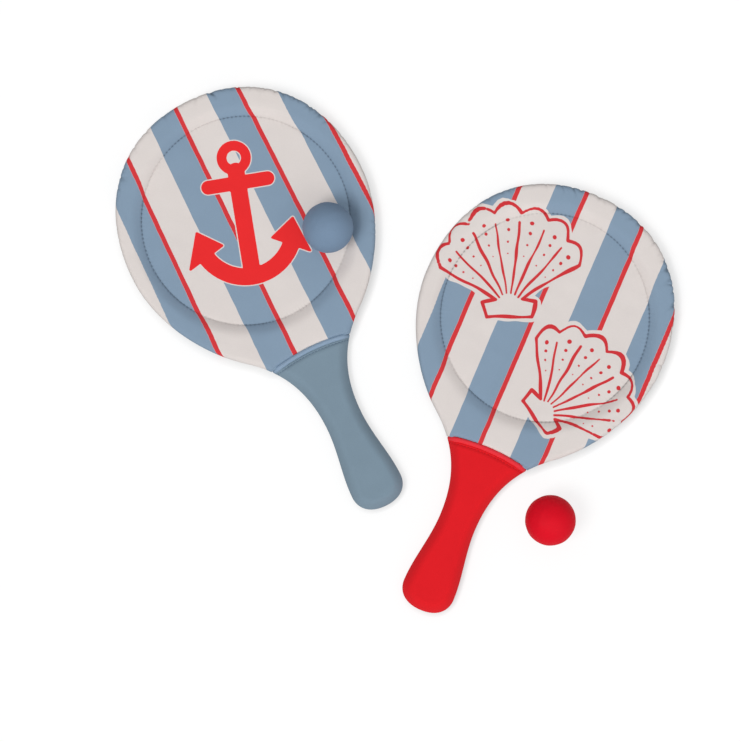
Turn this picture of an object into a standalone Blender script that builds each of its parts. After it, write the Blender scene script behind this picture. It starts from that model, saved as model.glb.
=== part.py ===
"""Beach paddle ball set: two padded fabric paddles and two soft balls, lying flat.

Each paddle is sewn as the real one is: a moulded frame (a hoop with a spine down the handle) sits in the
pocket between a front and a back face, a sleeve grips the spine, and a rolled piping closes the seam
between faces and sleeve. Metres, +Z up, the set stands on z = 0.
"""

import math

import bmesh
import bpy
import numpy as np
from mathutils import Vector, geometry

# Head of a paddle, measured from its centre, with the handle along -Y
HEAD_HALF_WIDTH = 0.1127
HEAD_WIDEST_Y = -0.0037
CROWN_RISE = 0.0031

# Handle: half widths, and how far each place lies beyond a circle as wide as the head
FLARE_HALF_WIDTH = 0.0574
FLARE_BELOW_HEAD = 0.0013
FLARE_ANGLE = math.radians(51.6)
WAIST_HALF_WIDTH = 0.01736
WAIST_BELOW_HEAD = 0.0859
BUTT_HALF_WIDTH = 0.0240
BUTT_BELOW_HEAD = 0.1504
END_BELOW_HEAD = 0.1687

# How full the outline is between those points, as shares of the spans that the handles lie along
CROWN_FULLNESS = 0.624
SHOULDER_FULLNESS = 0.575
CHEEK_FULLNESS = 0.452
FLARE_FULLNESS_UP = 0.227
FLARE_FULLNESS_DOWN = 0.330
NECK_FULLNESS = 0.442
GRIP_FULLNESS = 0.383
BUTT_FULLNESS = 0.79
END_FULLNESS = 0.766

# Section through the padding
PAD_HALF = 0.0090
RIM_WIDTH = 0.0204
FACE_THICKNESS = 0.0030
SLEEVE_THICKNESS = 0.0030
STITCH_DEPTH = 0.0006
STITCH_CHANNEL = 0.0030
GAP = 0.0003

# Seam between the faces and the sleeve: an arc that bulges towards the head
SEAM_BELOW_HEAD = 0.0161
SEAM_RADIUS = 0.174
PIPING_RADIUS = 0.0020

# Moulded frame inside
HOOP_CLEARANCE = 0.0006
SPINE_HALF = 0.0045
SPINE_EDGE_ROUND = 0.0018
SPINE_INSET = 0.0065
SPINE_FORK_HALF_WIDTH = 0.028
SPINE_SHOULDER_DROP = 0.018

# Balls
BALL_RADIUS = 0.0225

# Where the pieces lie, seen from above, measured from the centre of the blue paddle's head
BLUE_TURN = math.radians(26.2)
RED_TURN = math.radians(-23.1)
SPACE_BETWEEN_HEADS = 0.0405
RED_HEAD_AT_Y = -0.0858
BLUE_BALL_INSET = 0.0392
BLUE_BALL_AT_Y = -0.0080
RED_BALL_AT = (0.2699, -0.2664)

# Fineness of the faceted solids
CURVE_STEPS = 48
SEAM_COLUMNS = 5
HEAD_COLUMNS = 19
SLEEVE_COLUMNS = 15
END_CROWDING = 1.6
OUTER_ROLL_STEPS = 4
INNER_ROLL_STEPS = 3
OUTER_RISE_SHARES = (0.62, 0.27)
INNER_RISE_SHARES = (0.75, 0.35)
HOOP_COLUMNS = 40
PIPING_POINTS_ACROSS = 7

# Colours
BLUE = (0.198, 0.275, 0.347)
BLUE_LIGHT = (0.254, 0.366, 0.552)
RED = (0.730, 0.018, 0.024)
RED_LIGHT = (0.913, 0.037, 0.050)
OFF_WHITE = (0.723, 0.672, 0.651)
MOULDED_GREY = (0.080, 0.082, 0.085)

HEAD_TOP = HEAD_HALF_WIDTH + CROWN_RISE
FLARE_Y = -(HEAD_HALF_WIDTH + FLARE_BELOW_HEAD)
SEAM_Y = -(HEAD_HALF_WIDTH + SEAM_BELOW_HEAD)
WAIST_Y = -(HEAD_HALF_WIDTH + WAIST_BELOW_HEAD)
BUTT_Y = -(HEAD_HALF_WIDTH + BUTT_BELOW_HEAD)
END_Y = -(HEAD_HALF_WIDTH + END_BELOW_HEAD)
RED_HEAD_AT = (2 * HEAD_HALF_WIDTH + SPACE_BETWEEN_HEADS, RED_HEAD_AT_Y)
BLUE_BALL_AT = (HEAD_HALF_WIDTH - BLUE_BALL_INSET, BLUE_BALL_AT_Y)
HEAD_STITCH_RADIUS = HEAD_HALF_WIDTH - RIM_WIDTH
HALF_SEAM_GAP = GAP / 2
FACE_TOP = HALF_SEAM_GAP + FACE_THICKNESS
RISE_WIDTH = RIM_WIDTH - PAD_HALF
SLOT_HALF = PIPING_RADIUS + GAP


def clear_scene():
    """Remove every object, so that the model stands alone."""
    for old in list(bpy.data.objects):
        bpy.data.objects.remove(old, do_unlink=True)


def new_collection(name):
    collection = bpy.data.collections.new(name)
    bpy.context.scene.collection.children.link(collection)
    return collection


def new_material(name, colour, roughness):
    material = bpy.data.materials.new(name)
    material.use_nodes = True
    shader = material.node_tree.nodes["Principled BSDF"]
    shader.inputs["Base Color"].default_value = (*colour, 1.0)
    shader.inputs["Roughness"].default_value = roughness
    shader.inputs["Metallic"].default_value = 0.0
    return material


def new_object(name, data, collection, material=None, parent=None):
    item = bpy.data.objects.new(name, data)
    collection.objects.link(item)
    if material is not None:
        data.materials.append(material)
    if parent is not None:
        item.parent = parent
    return item


def new_empty(name, collection, location, turn=0.0, parent=None):
    empty = new_object(name, None, collection, parent=parent)
    empty.location = location
    empty.rotation_euler = (0.0, 0.0, turn)
    return empty


def half_outline():
    """The right half of a paddle's outline, from the top of the head to the end of the handle."""
    top = Vector((0.0, HEAD_TOP))
    side = Vector((HEAD_HALF_WIDTH, HEAD_WIDEST_Y))
    flare = Vector((FLARE_HALF_WIDTH, FLARE_Y))
    waist = Vector((WAIST_HALF_WIDTH, WAIST_Y))
    butt = Vector((BUTT_HALF_WIDTH, BUTT_Y))
    end = Vector((0.0, END_Y))
    down = Vector((0.0, -1.0))
    across = Vector((1.0, 0.0))
    slope = Vector((-math.sin(FLARE_ANGLE), -math.cos(FLARE_ANGLE)))
    crown = CROWN_FULLNESS * (side.x - top.x)
    shoulder = SHOULDER_FULLNESS * (top.y - side.y)
    cheek = CHEEK_FULLNESS * (side.y - flare.y)
    above_flare = FLARE_FULLNESS_UP * (side - flare).length
    below_flare = FLARE_FULLNESS_DOWN * (flare - waist).length
    neck = NECK_FULLNESS * (flare.y - waist.y)
    grip = GRIP_FULLNESS * (waist.y - butt.y)
    corner = BUTT_FULLNESS * (butt.y - end.y)
    heel = END_FULLNESS * (butt.x - end.x)
    spans = (
        (top, top + across * crown, side - down * shoulder, side),
        (side, side + down * cheek, flare - slope * above_flare, flare),
        (flare, flare + slope * below_flare, waist - down * neck, waist),
        (waist, waist + down * grip, butt - down * grip, butt),
        (butt, butt + down * corner, end + across * heel, end),
    )
    points = [top]
    for span in spans:
        points += geometry.interpolate_bezier(*span, CURVE_STEPS)[1:]
    return np.array([point[:2] for point in points])


class Plan:
    """The paddle seen from above: its outline, distances to its edge, and its seam."""

    def __init__(self):
        self.edge = half_outline()
        steps = np.hypot(*np.diff(self.edge, axis=0).T)
        self.length = np.concatenate([[0.0], np.cumsum(steps)])

    def half_width(self, y):
        return float(np.interp(-y, -self.edge[:, 1], self.edge[:, 0]))

    def point_at(self, length):
        return Vector([float(np.interp(length, self.length, self.edge[:, i])) for i in (0, 1)])

    def length_at(self, y):
        return float(np.interp(-y, -self.edge[:, 1], self.length))

    def distance(self, x, y):
        """How far a point inside the outline lies from it."""
        start = self.edge[:-1]
        step = self.edge[1:] - start
        to_point = np.array([abs(x), y]) - start
        share = (to_point * step).sum(axis=1) / (step * step).sum(axis=1)
        foot = step * np.clip(share, 0.0, 1.0)[:, None]
        return float(np.hypot(*(to_point - foot).T).min())

    def handle_lengths(self, y):
        """Places along the edge from a height to the end of the handle, closer together round the butt."""
        start = self.length_at(y)
        span = self.length[-1] - start
        shares = [1.0 - (1.0 - step / SLEEVE_COLUMNS) ** END_CROWDING for step in range(SLEEVE_COLUMNS + 1)]
        return [start + span * share for share in shares]

    def normal_at(self, length):
        """The direction into the paddle, square to its edge."""
        reach = self.length[-1] / (20 * CURVE_STEPS)
        ahead = self.point_at(min(length + reach, self.length[-1]))
        behind = self.point_at(max(length - reach, 0.0))
        along = (ahead - behind).normalized()
        return Vector((along.y, -along.x))

    def seam_point(self, angle, offset):
        """A point on the seam's arc, moved by offset towards the head."""
        radius = SEAM_RADIUS + offset
        return Vector((radius * math.sin(angle), SEAM_Y - SEAM_RADIUS + radius * math.cos(angle)))

    def seam_corner(self, offset, depth=0.0):
        """The angle at which the seam's arc comes within depth of the edge."""
        low, high = 0.0, math.pi / 4
        for _ in range(40):
            middle = (low + high) / 2
            x, y = self.seam_point(middle, offset)
            inside = x < self.half_width(y) and self.distance(x, y) > depth
            low, high = (middle, high) if inside else (low, middle)
        return low

    def radius_at_depth(self, point, depth):
        """How far from the head's centre the ray to an edge point is at a depth inside the edge."""
        outer = point.length
        ray = point.normalized()
        low, high = outer - 3.0 * depth, outer
        for _ in range(30):
            middle = (low + high) / 2
            deep = self.distance(*(ray * middle)) > depth
            low, high = (middle, high) if deep else (low, middle)
        return (low + high) / 2


def skin_height(plan, x, y, depth):
    """Half the padding's thickness at a point, for a skin that lies at a depth under the outer one."""
    roll_radius = PAD_HALF - depth
    from_roll_centre = max(PAD_HALF - plan.distance(x, y), 0.0)
    roll = math.sqrt(max(roll_radius**2 - from_roll_centre**2, 0.0))
    outside_circle = min(max(math.hypot(x, y) - HEAD_STITCH_RADIUS, 0.0) / RISE_WIDTH, 1.0)
    lift = math.sin(outside_circle * math.pi / 2)
    rise = FACE_TOP + (PAD_HALF - FACE_TOP) * lift - depth
    return max(min(roll, rise), HALF_SEAM_GAP)


def roll_depths(start, steps):
    """Distances from the edge at which a rolled skin is sampled, evenly by angle."""
    radius = PAD_HALF - start
    return [start + radius * (1.0 - math.cos(step * math.pi / 2 / steps)) for step in range(steps + 1)]


def mirrored(right):
    """A closed loop from its right half, which starts and ends on the axis."""
    left = [Vector((-point.x, point.y)) for point in reversed(right[1:-1])]
    return right + left


def face_columns(plan):
    """The edge of a face from the middle of the seam round to the top, and where the seam ends."""
    corner = plan.seam_corner(SLOT_HALF)
    columns = []
    for step in range(SEAM_COLUMNS):
        angle = corner * math.sin(step / SEAM_COLUMNS * math.pi / 2)
        columns.append(plan.seam_point(angle, SLOT_HALF))
    start = plan.length_at(plan.seam_point(corner, SLOT_HALF).y)
    for step in range(HEAD_COLUMNS + 1):
        columns.append(plan.point_at(start * (1.0 - step / HEAD_COLUMNS)))
    return columns


def skin_rings(plan, columns, depth, steps, shares):
    """Rings of points from a face's edge to its stitched circle, on the skin at a depth."""
    corner = columns[SEAM_COLUMNS]
    rings = []
    crest = []
    for target in roll_depths(depth, steps):
        fall = corner.length - plan.radius_at_depth(corner, target)
        ring = []
        for number, point in enumerate(columns):
            on_seam = number < SEAM_COLUMNS
            if on_seam:
                share = (target - depth) / (PAD_HALF - depth)
                radius = point.length - fall * (share if depth else 1.0)
            else:
                radius = plan.radius_at_depth(point, target) if target else point.length
            ring.append(point.normalized() * radius)
        rings.append(ring)
        crest = ring
    for share in shares:
        rings.append([p.normalized() * (HEAD_STITCH_RADIUS + share * (p.length - HEAD_STITCH_RADIUS)) for p in crest])
    rings.append([p.normalized() * HEAD_STITCH_RADIUS for p in crest])
    return [[(p.x, p.y, skin_height(plan, p.x, p.y, depth)) for p in mirrored(ring)] for ring in rings]


def loft(name, rings):
    """A closed mesh through a stack of rings with as many points each, capped at both ends."""
    shell = bmesh.new()
    loops = [[shell.verts.new(point) for point in ring] for ring in rings]
    for lower, upper in zip(loops, loops[1:]):
        for number in range(len(lower)):
            after = (number + 1) % len(lower)
            shell.faces.new((lower[number], lower[after], upper[after], upper[number]))
    shell.faces.new(loops[0])
    shell.faces.new(loops[-1])
    bmesh.ops.recalc_face_normals(shell, faces=shell.faces)
    mesh = bpy.data.meshes.new(name)
    shell.to_mesh(mesh)
    shell.free()
    mesh.shade_smooth()
    mesh.set_sharp_from_angle(angle=math.radians(40))
    return mesh


def face_mesh(plan, name, side):
    """One face: a sheet across the hoop, with a pocket round it that rolls over to the edge."""
    columns = face_columns(plan)
    outer = skin_rings(plan, columns, 0.0, OUTER_ROLL_STEPS, OUTER_RISE_SHARES)
    inner = skin_rings(plan, columns, FACE_THICKNESS, INNER_ROLL_STEPS, INNER_RISE_SHARES)
    groove = [(x, y, z - STITCH_DEPTH) for x, y, z in outer[-1]]
    shrink = 1.0 - STITCH_CHANNEL / HEAD_STITCH_RADIUS
    sheet = [(x * shrink, y * shrink, FACE_TOP) for x, y, _ in groove]
    rings = [sheet, groove, *reversed(outer[:-1]), *inner]
    return loft(name, [[(x, y, side * z) for x, y, z in ring] for ring in rings])


def poly_curve(name, points, cyclic=True, flat=False):
    """A curve object's data through straight points."""
    curve = bpy.data.curves.new(name, "CURVE")
    curve.dimensions = "2D" if flat else "3D"
    spline = curve.splines.new("POLY")
    spline.points.add(len(points) - 1)
    for target, point in zip(spline.points, points):
        target.co = (*point, 0.0, 1.0) if flat else (*point, 1.0)
    spline.use_cyclic_u = cyclic
    return curve


def mesh_from_curve(name, curve, collection):
    """The welded mesh of a curve, which then takes modifiers."""
    source = new_object(name + "_curve", curve, collection)
    bpy.context.view_layer.update()
    ready = source.evaluated_get(bpy.context.evaluated_depsgraph_get())
    mesh = bpy.data.meshes.new_from_object(ready)
    bpy.data.objects.remove(source, do_unlink=True)
    welded = bmesh.new()
    welded.from_mesh(mesh)
    bmesh.ops.remove_doubles(welded, verts=welded.verts, dist=1e-6)
    bmesh.ops.recalc_face_normals(welded, faces=welded.faces)
    welded.to_mesh(mesh)
    welded.free()
    mesh.name = name
    return mesh


def make_cutter(name, mesh, collection, parent):
    cutter = new_object(name, mesh, collection, parent=parent)
    cutter.hide_render = True
    cutter.display_type = "WIRE"
    return cutter


def add_boolean(target, cutter, operation):
    modifier = target.modifiers.new(cutter.name, "BOOLEAN")
    modifier.operation = operation
    modifier.object = cutter
    modifier.solver = "EXACT"


def handle_outline(plan):
    """The handle's closed outline, with a blank above the seam that the neck cutter takes off."""
    right = [plan.point_at(length) for length in plan.handle_lengths(SEAM_Y + 2 * PAD_HALF)]
    left = [Vector((-point.x, point.y)) for point in reversed(right[:-1])]
    return right + left


def rolled_pad(plan, name, depth, collection):
    """The handle as a pad with round edges, at a depth under its outer skin."""
    curve = poly_curve(name, handle_outline(plan), flat=True)
    curve.fill_mode = "BOTH"
    curve.bevel_depth = PAD_HALF - depth
    curve.bevel_resolution = OUTER_ROLL_STEPS - 1
    curve.offset = -PAD_HALF
    return mesh_from_curve(name, curve, collection)


def neck_cutter_mesh(plan, name, collection):
    """Everything on the head's side of the sleeve's seam edge."""
    reach = 1.05 * plan.seam_corner(-SLOT_HALF)
    steps = 2 * SEAM_COLUMNS
    arc = [plan.seam_point(reach * step / steps, -SLOT_HALF) for step in range(-steps, steps + 1)]
    high = SEAM_Y + 4 * PAD_HALF
    right = [Vector((HEAD_HALF_WIDTH, arc[-1].y)), Vector((HEAD_HALF_WIDTH, high))]
    left = [Vector((-HEAD_HALF_WIDTH, high)), Vector((-HEAD_HALF_WIDTH, arc[0].y))]
    outline = [*arc, *right, *left]
    curve = poly_curve(name, outline, flat=True)
    curve.fill_mode = "BOTH"
    curve.extrude = 2 * PAD_HALF
    return mesh_from_curve(name, curve, collection)


def add_sleeve(plan, prefix, parts, cutters, material, parent):
    """The grip: a sleeve round the spine, open at the seam."""
    outer = rolled_pad(plan, prefix + "_grip", 0.0, parts)
    sleeve = new_object(prefix + "_grip", outer, parts, material, parent)
    neck = make_cutter(prefix + "_neck_cutter", neck_cutter_mesh(plan, prefix + "_neck", cutters), cutters, parent)
    hollow_mesh = rolled_pad(plan, prefix + "_hollow", SLEEVE_THICKNESS, cutters)
    hollow = make_cutter(prefix + "_hollow_cutter", hollow_mesh, cutters, parent)
    add_boolean(sleeve, neck, "DIFFERENCE")
    add_boolean(sleeve, hollow, "DIFFERENCE")
    outer.shade_smooth()
    outer.set_sharp_from_angle(angle=math.radians(40))
    return sleeve


def add_piping(plan, prefix, parts, material, parent):
    """The rolled cord that runs round the neck in the slot between faces and sleeve."""
    end = plan.seam_corner(0.0, PIPING_RADIUS)
    across = []
    for step in range(-PIPING_POINTS_ACROSS, PIPING_POINTS_ACROSS + 1):
        angle = end * math.sin(step / PIPING_POINTS_ACROSS * math.pi / 2)
        across.append(plan.seam_point(angle, 0.0))
    front = [(p.x, p.y, skin_height(plan, p.x, p.y, PIPING_RADIUS)) for p in across[1:-1]]
    left, right = across[0], across[-1]
    back = [(x, y, -z) for x, y, z in reversed(front)]
    path = [(left.x, left.y, 0.0), *front, (right.x, right.y, 0.0), *back]
    curve = poly_curve(prefix + "_piping", path)
    curve.bevel_depth = PIPING_RADIUS
    curve.bevel_resolution = 2
    return new_object(prefix + "_piping", curve, parts, material, parent)


def hoop_mesh(plan, name, collection):
    """The frame's round hoop, which lies in the middle of the faces' pocket."""
    reach = HEAD_TOP - PAD_HALF
    path = []
    for step in range(HOOP_COLUMNS):
        angle = 2 * math.pi * step / HOOP_COLUMNS
        ray = Vector((math.sin(angle), math.cos(angle)))
        low, high = HEAD_STITCH_RADIUS, reach
        for _ in range(30):
            middle = (low + high) / 2
            deep = plan.distance(*(ray * middle)) > PAD_HALF
            low, high = (middle, high) if deep else (low, middle)
        path.append((*(ray * low), 0.0))
    curve = poly_curve(name, path)
    curve.bevel_depth = PAD_HALF - FACE_THICKNESS - HOOP_CLEARANCE
    curve.bevel_resolution = 1
    return mesh_from_curve(name, curve, collection)


def spine_mesh(plan, name, collection):
    """The frame's flat spine, from the hoop to near the end of the handle."""
    reach = HEAD_TOP - PAD_HALF
    fork = math.asin(SPINE_FORK_HALF_WIDTH / reach)
    right = [Vector((math.sin(fork * part), -math.cos(fork * part))) * reach for part in (0.0, 0.5, 1.0)]
    for length in plan.handle_lengths(SEAM_Y - SPINE_SHOULDER_DROP)[:-1]:
        right.append(plan.point_at(length) + plan.normal_at(length) * SPINE_INSET)
    right.append(Vector((0.0, END_Y + SPINE_INSET)))
    curve = poly_curve(name, mirrored(right), flat=True)
    curve.fill_mode = "BOTH"
    curve.extrude = SPINE_HALF - SPINE_EDGE_ROUND
    curve.bevel_depth = SPINE_EDGE_ROUND
    curve.bevel_resolution = 1
    curve.offset = -SPINE_EDGE_ROUND
    return mesh_from_curve(name, curve, collection)


def add_frame(plan, prefix, parts, cutters, material, parent):
    """Hoop and spine, moulded as one piece."""
    frame = new_object(prefix + "_frame", hoop_mesh(plan, prefix + "_frame", parts), parts, material, parent)
    spine = make_cutter(prefix + "_spine", spine_mesh(plan, prefix + "_spine", cutters), cutters, parent)
    add_boolean(frame, spine, "UNION")
    return frame


def add_paddle(prefix, at, turn, sleeve_material, piping_material, shared, parts, cutters, root):
    """One paddle, lying flat on its rim and grip."""
    plan = Plan()
    face_material, frame_material = shared
    place = new_empty(prefix, parts, (*at, PAD_HALF), turn, root)
    for word, side in (("front", 1), ("back", -1)):
        name = prefix + "_" + word + "_face"
        new_object(name, face_mesh(plan, name, side), parts, face_material, place)
    add_frame(plan, prefix, parts, cutters, frame_material, place)
    add_sleeve(plan, prefix, parts, cutters, sleeve_material, place)
    add_piping(plan, prefix, parts, piping_material, place)


def add_ball(name, at, resting_height, material, parts, root):
    bpy.ops.mesh.primitive_uv_sphere_add(segments=24, ring_count=12, radius=BALL_RADIUS)
    ball = bpy.context.object
    ball.name = name
    ball.data.name = name
    for collection in list(ball.users_collection):
        collection.objects.unlink(ball)
    parts.objects.link(ball)
    ball.parent = root
    ball.location = (*at, resting_height + BALL_RADIUS)
    ball.data.materials.append(material)
    ball.data.shade_smooth()
    return ball


def centre_on_origin(root, parts):
    """Move the set so that the middle of its footprint is the origin."""
    bpy.context.view_layer.update()
    graph = bpy.context.evaluated_depsgraph_get()
    corners = []
    for item in parts.objects:
        if item.type in {"MESH", "CURVE"}:
            ready = item.evaluated_get(graph)
            mesh = ready.to_mesh()
            corners += [ready.matrix_world @ vertex.co for vertex in mesh.vertices]
            ready.to_mesh_clear()
    for axis in (0, 1):
        values = [corner[axis] for corner in corners]
        root.location[axis] -= (min(values) + max(values)) / 2
    bpy.context.view_layer.update()


def main():
    clear_scene()
    parts = new_collection("beach_paddle_ball_set")
    cutters = new_collection("cutters")
    striped = new_material("striped_cloth", OFF_WHITE, 0.85)
    moulded = new_material("moulded_frame", MOULDED_GREY, 0.5)
    blue = new_material("blue_foam", BLUE, 0.75)
    blue_light = new_material("blue_piping", BLUE_LIGHT, 0.7)
    red = new_material("red_foam", RED, 0.75)
    red_light = new_material("red_piping", RED_LIGHT, 0.7)
    root = new_empty("set_root", parts, (0.0, 0.0, 0.0))
    shared = (striped, moulded)
    add_paddle("blue_paddle", (0.0, 0.0), BLUE_TURN, blue, blue_light, shared, parts, cutters, root)
    add_paddle("red_paddle", RED_HEAD_AT, RED_TURN, red, red_light, shared, parts, cutters, root)
    on_face = PAD_HALF + FACE_TOP + GAP
    add_ball("blue_ball", BLUE_BALL_AT, on_face, blue, parts, root)
    add_ball("red_ball", RED_BALL_AT, 0.0, red, parts, root)
    centre_on_origin(root, parts)


main()
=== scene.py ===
"""Looks of a beach paddle ball set: two padded cloth paddles and two soft balls on a pale floor.

Each paddle is made in a flat frame of its own (origin in the middle of the head, +Y to its top, the handle
along -Y, the mid-plane at z = 0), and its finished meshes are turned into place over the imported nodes.
"""

import logging
import math
from dataclasses import dataclass
from enum import Enum

import bmesh
import bpy
import numpy as np
from mathutils import Matrix, Vector


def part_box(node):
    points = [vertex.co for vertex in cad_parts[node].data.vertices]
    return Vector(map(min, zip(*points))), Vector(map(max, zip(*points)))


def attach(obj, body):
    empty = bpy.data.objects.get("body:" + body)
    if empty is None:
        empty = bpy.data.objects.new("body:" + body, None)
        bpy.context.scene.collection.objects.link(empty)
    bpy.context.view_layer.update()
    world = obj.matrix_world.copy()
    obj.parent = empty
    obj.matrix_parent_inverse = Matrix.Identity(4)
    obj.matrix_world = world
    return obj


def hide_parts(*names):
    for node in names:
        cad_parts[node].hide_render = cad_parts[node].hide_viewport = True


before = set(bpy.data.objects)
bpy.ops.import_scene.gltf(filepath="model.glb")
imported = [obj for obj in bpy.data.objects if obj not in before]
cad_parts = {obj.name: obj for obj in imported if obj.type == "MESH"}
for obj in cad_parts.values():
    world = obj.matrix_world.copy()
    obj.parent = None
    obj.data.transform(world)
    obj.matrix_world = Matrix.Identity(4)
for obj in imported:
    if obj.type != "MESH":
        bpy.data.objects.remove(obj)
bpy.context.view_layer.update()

LOG = logging.getLogger("beach_paddles")
BODY = "root"
PHOTO_PIXELS = 741
METRES_PER_PIXEL = 0.000885
MILLIMETRE = 0.001
SHARP_ANGLE = math.radians(70.0)

Colour = tuple[float, float, float]
Point = tuple[float, float]
Span = tuple[float, float]


class Side(Enum):
    """Which way a face of a paddle looks when the paddle lies flat."""

    FRONT = 1
    BACK = -1


class Motif(Enum):
    """What is printed in the middle of a face."""

    ANCHOR = "anchor"
    SHELLS = "shells"


@dataclass(frozen=True)
class PaddleSizes:
    """Driving sizes of a paddle in metres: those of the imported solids, with the padding's rounder butt."""

    head_half_width: float = 0.1127
    head_widest_y: float = -0.0037
    crown_rise: float = 0.0031
    flare_half_width: float = 0.0574
    flare_below_head: float = 0.0013
    flare_angle: float = math.radians(51.6)
    waist_half_width: float = 0.0169
    waist_below_head: float = 0.0860
    butt_half_width: float = 0.0237
    butt_below_head: float = 0.1507
    end_below_head: float = 0.1700
    seam_below_head: float = 0.0161
    seam_radius: float = 0.174
    pad_half: float = 0.0090
    rim_width: float = 0.0204
    stitch_drop: float = 0.0017
    face_thickness: float = 0.0030
    sleeve_thickness: float = 0.0030
    piping_radius: float = 0.0020
    gap: float = 0.0003

    @property
    def stitch_radius(self) -> float:
        """Radius of the circle in which front and back are sewn to each other."""
        return self.head_half_width - self.rim_width

    @property
    def face_top(self) -> float:
        """Height of the flat middle of a face above the mid-plane."""
        return self.gap / 2 + self.face_thickness

    @property
    def seam_y(self) -> float:
        """Where the seam between faces and grip crosses the axis."""
        return -(self.head_half_width + self.seam_below_head)

    @property
    def seam_slot(self) -> float:
        """Half the width of the slot that the piping lies in."""
        return self.piping_radius + self.gap


@dataclass(frozen=True)
class EdgeHandles:
    """How far the curves of a paddle's edge run straight on, as shares of the way between their ends."""

    crown_outwards: float = 0.624
    side_upwards: float = 0.575
    side_downwards: float = 0.452
    flare_upwards: float = 0.227
    flare_downwards: float = 0.343
    waist_upwards: float = 0.473
    waist_downwards: float = 0.355
    butt_upwards: float = 0.331
    butt_downwards: float = 0.53
    end_outwards: float = 0.69


def cubic_span(corners: tuple[Point, Point, Point, Point], steps: int) -> np.ndarray:
    """Points along a cubic curve.

    Args:
        corners: Its start, its two handles and its end.
        steps: How many points to make.

    Returns:
        The points after the start, as rows of x and y.
    """
    start, leaving, arriving, end = (np.array(corner) for corner in corners)
    share = np.linspace(0.0, 1.0, steps + 1)[1:, None]
    rest = 1.0 - share
    return rest**3 * start + 3 * rest**2 * share * leaving + 3 * rest * share**2 * arriving + share**3 * end


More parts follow.
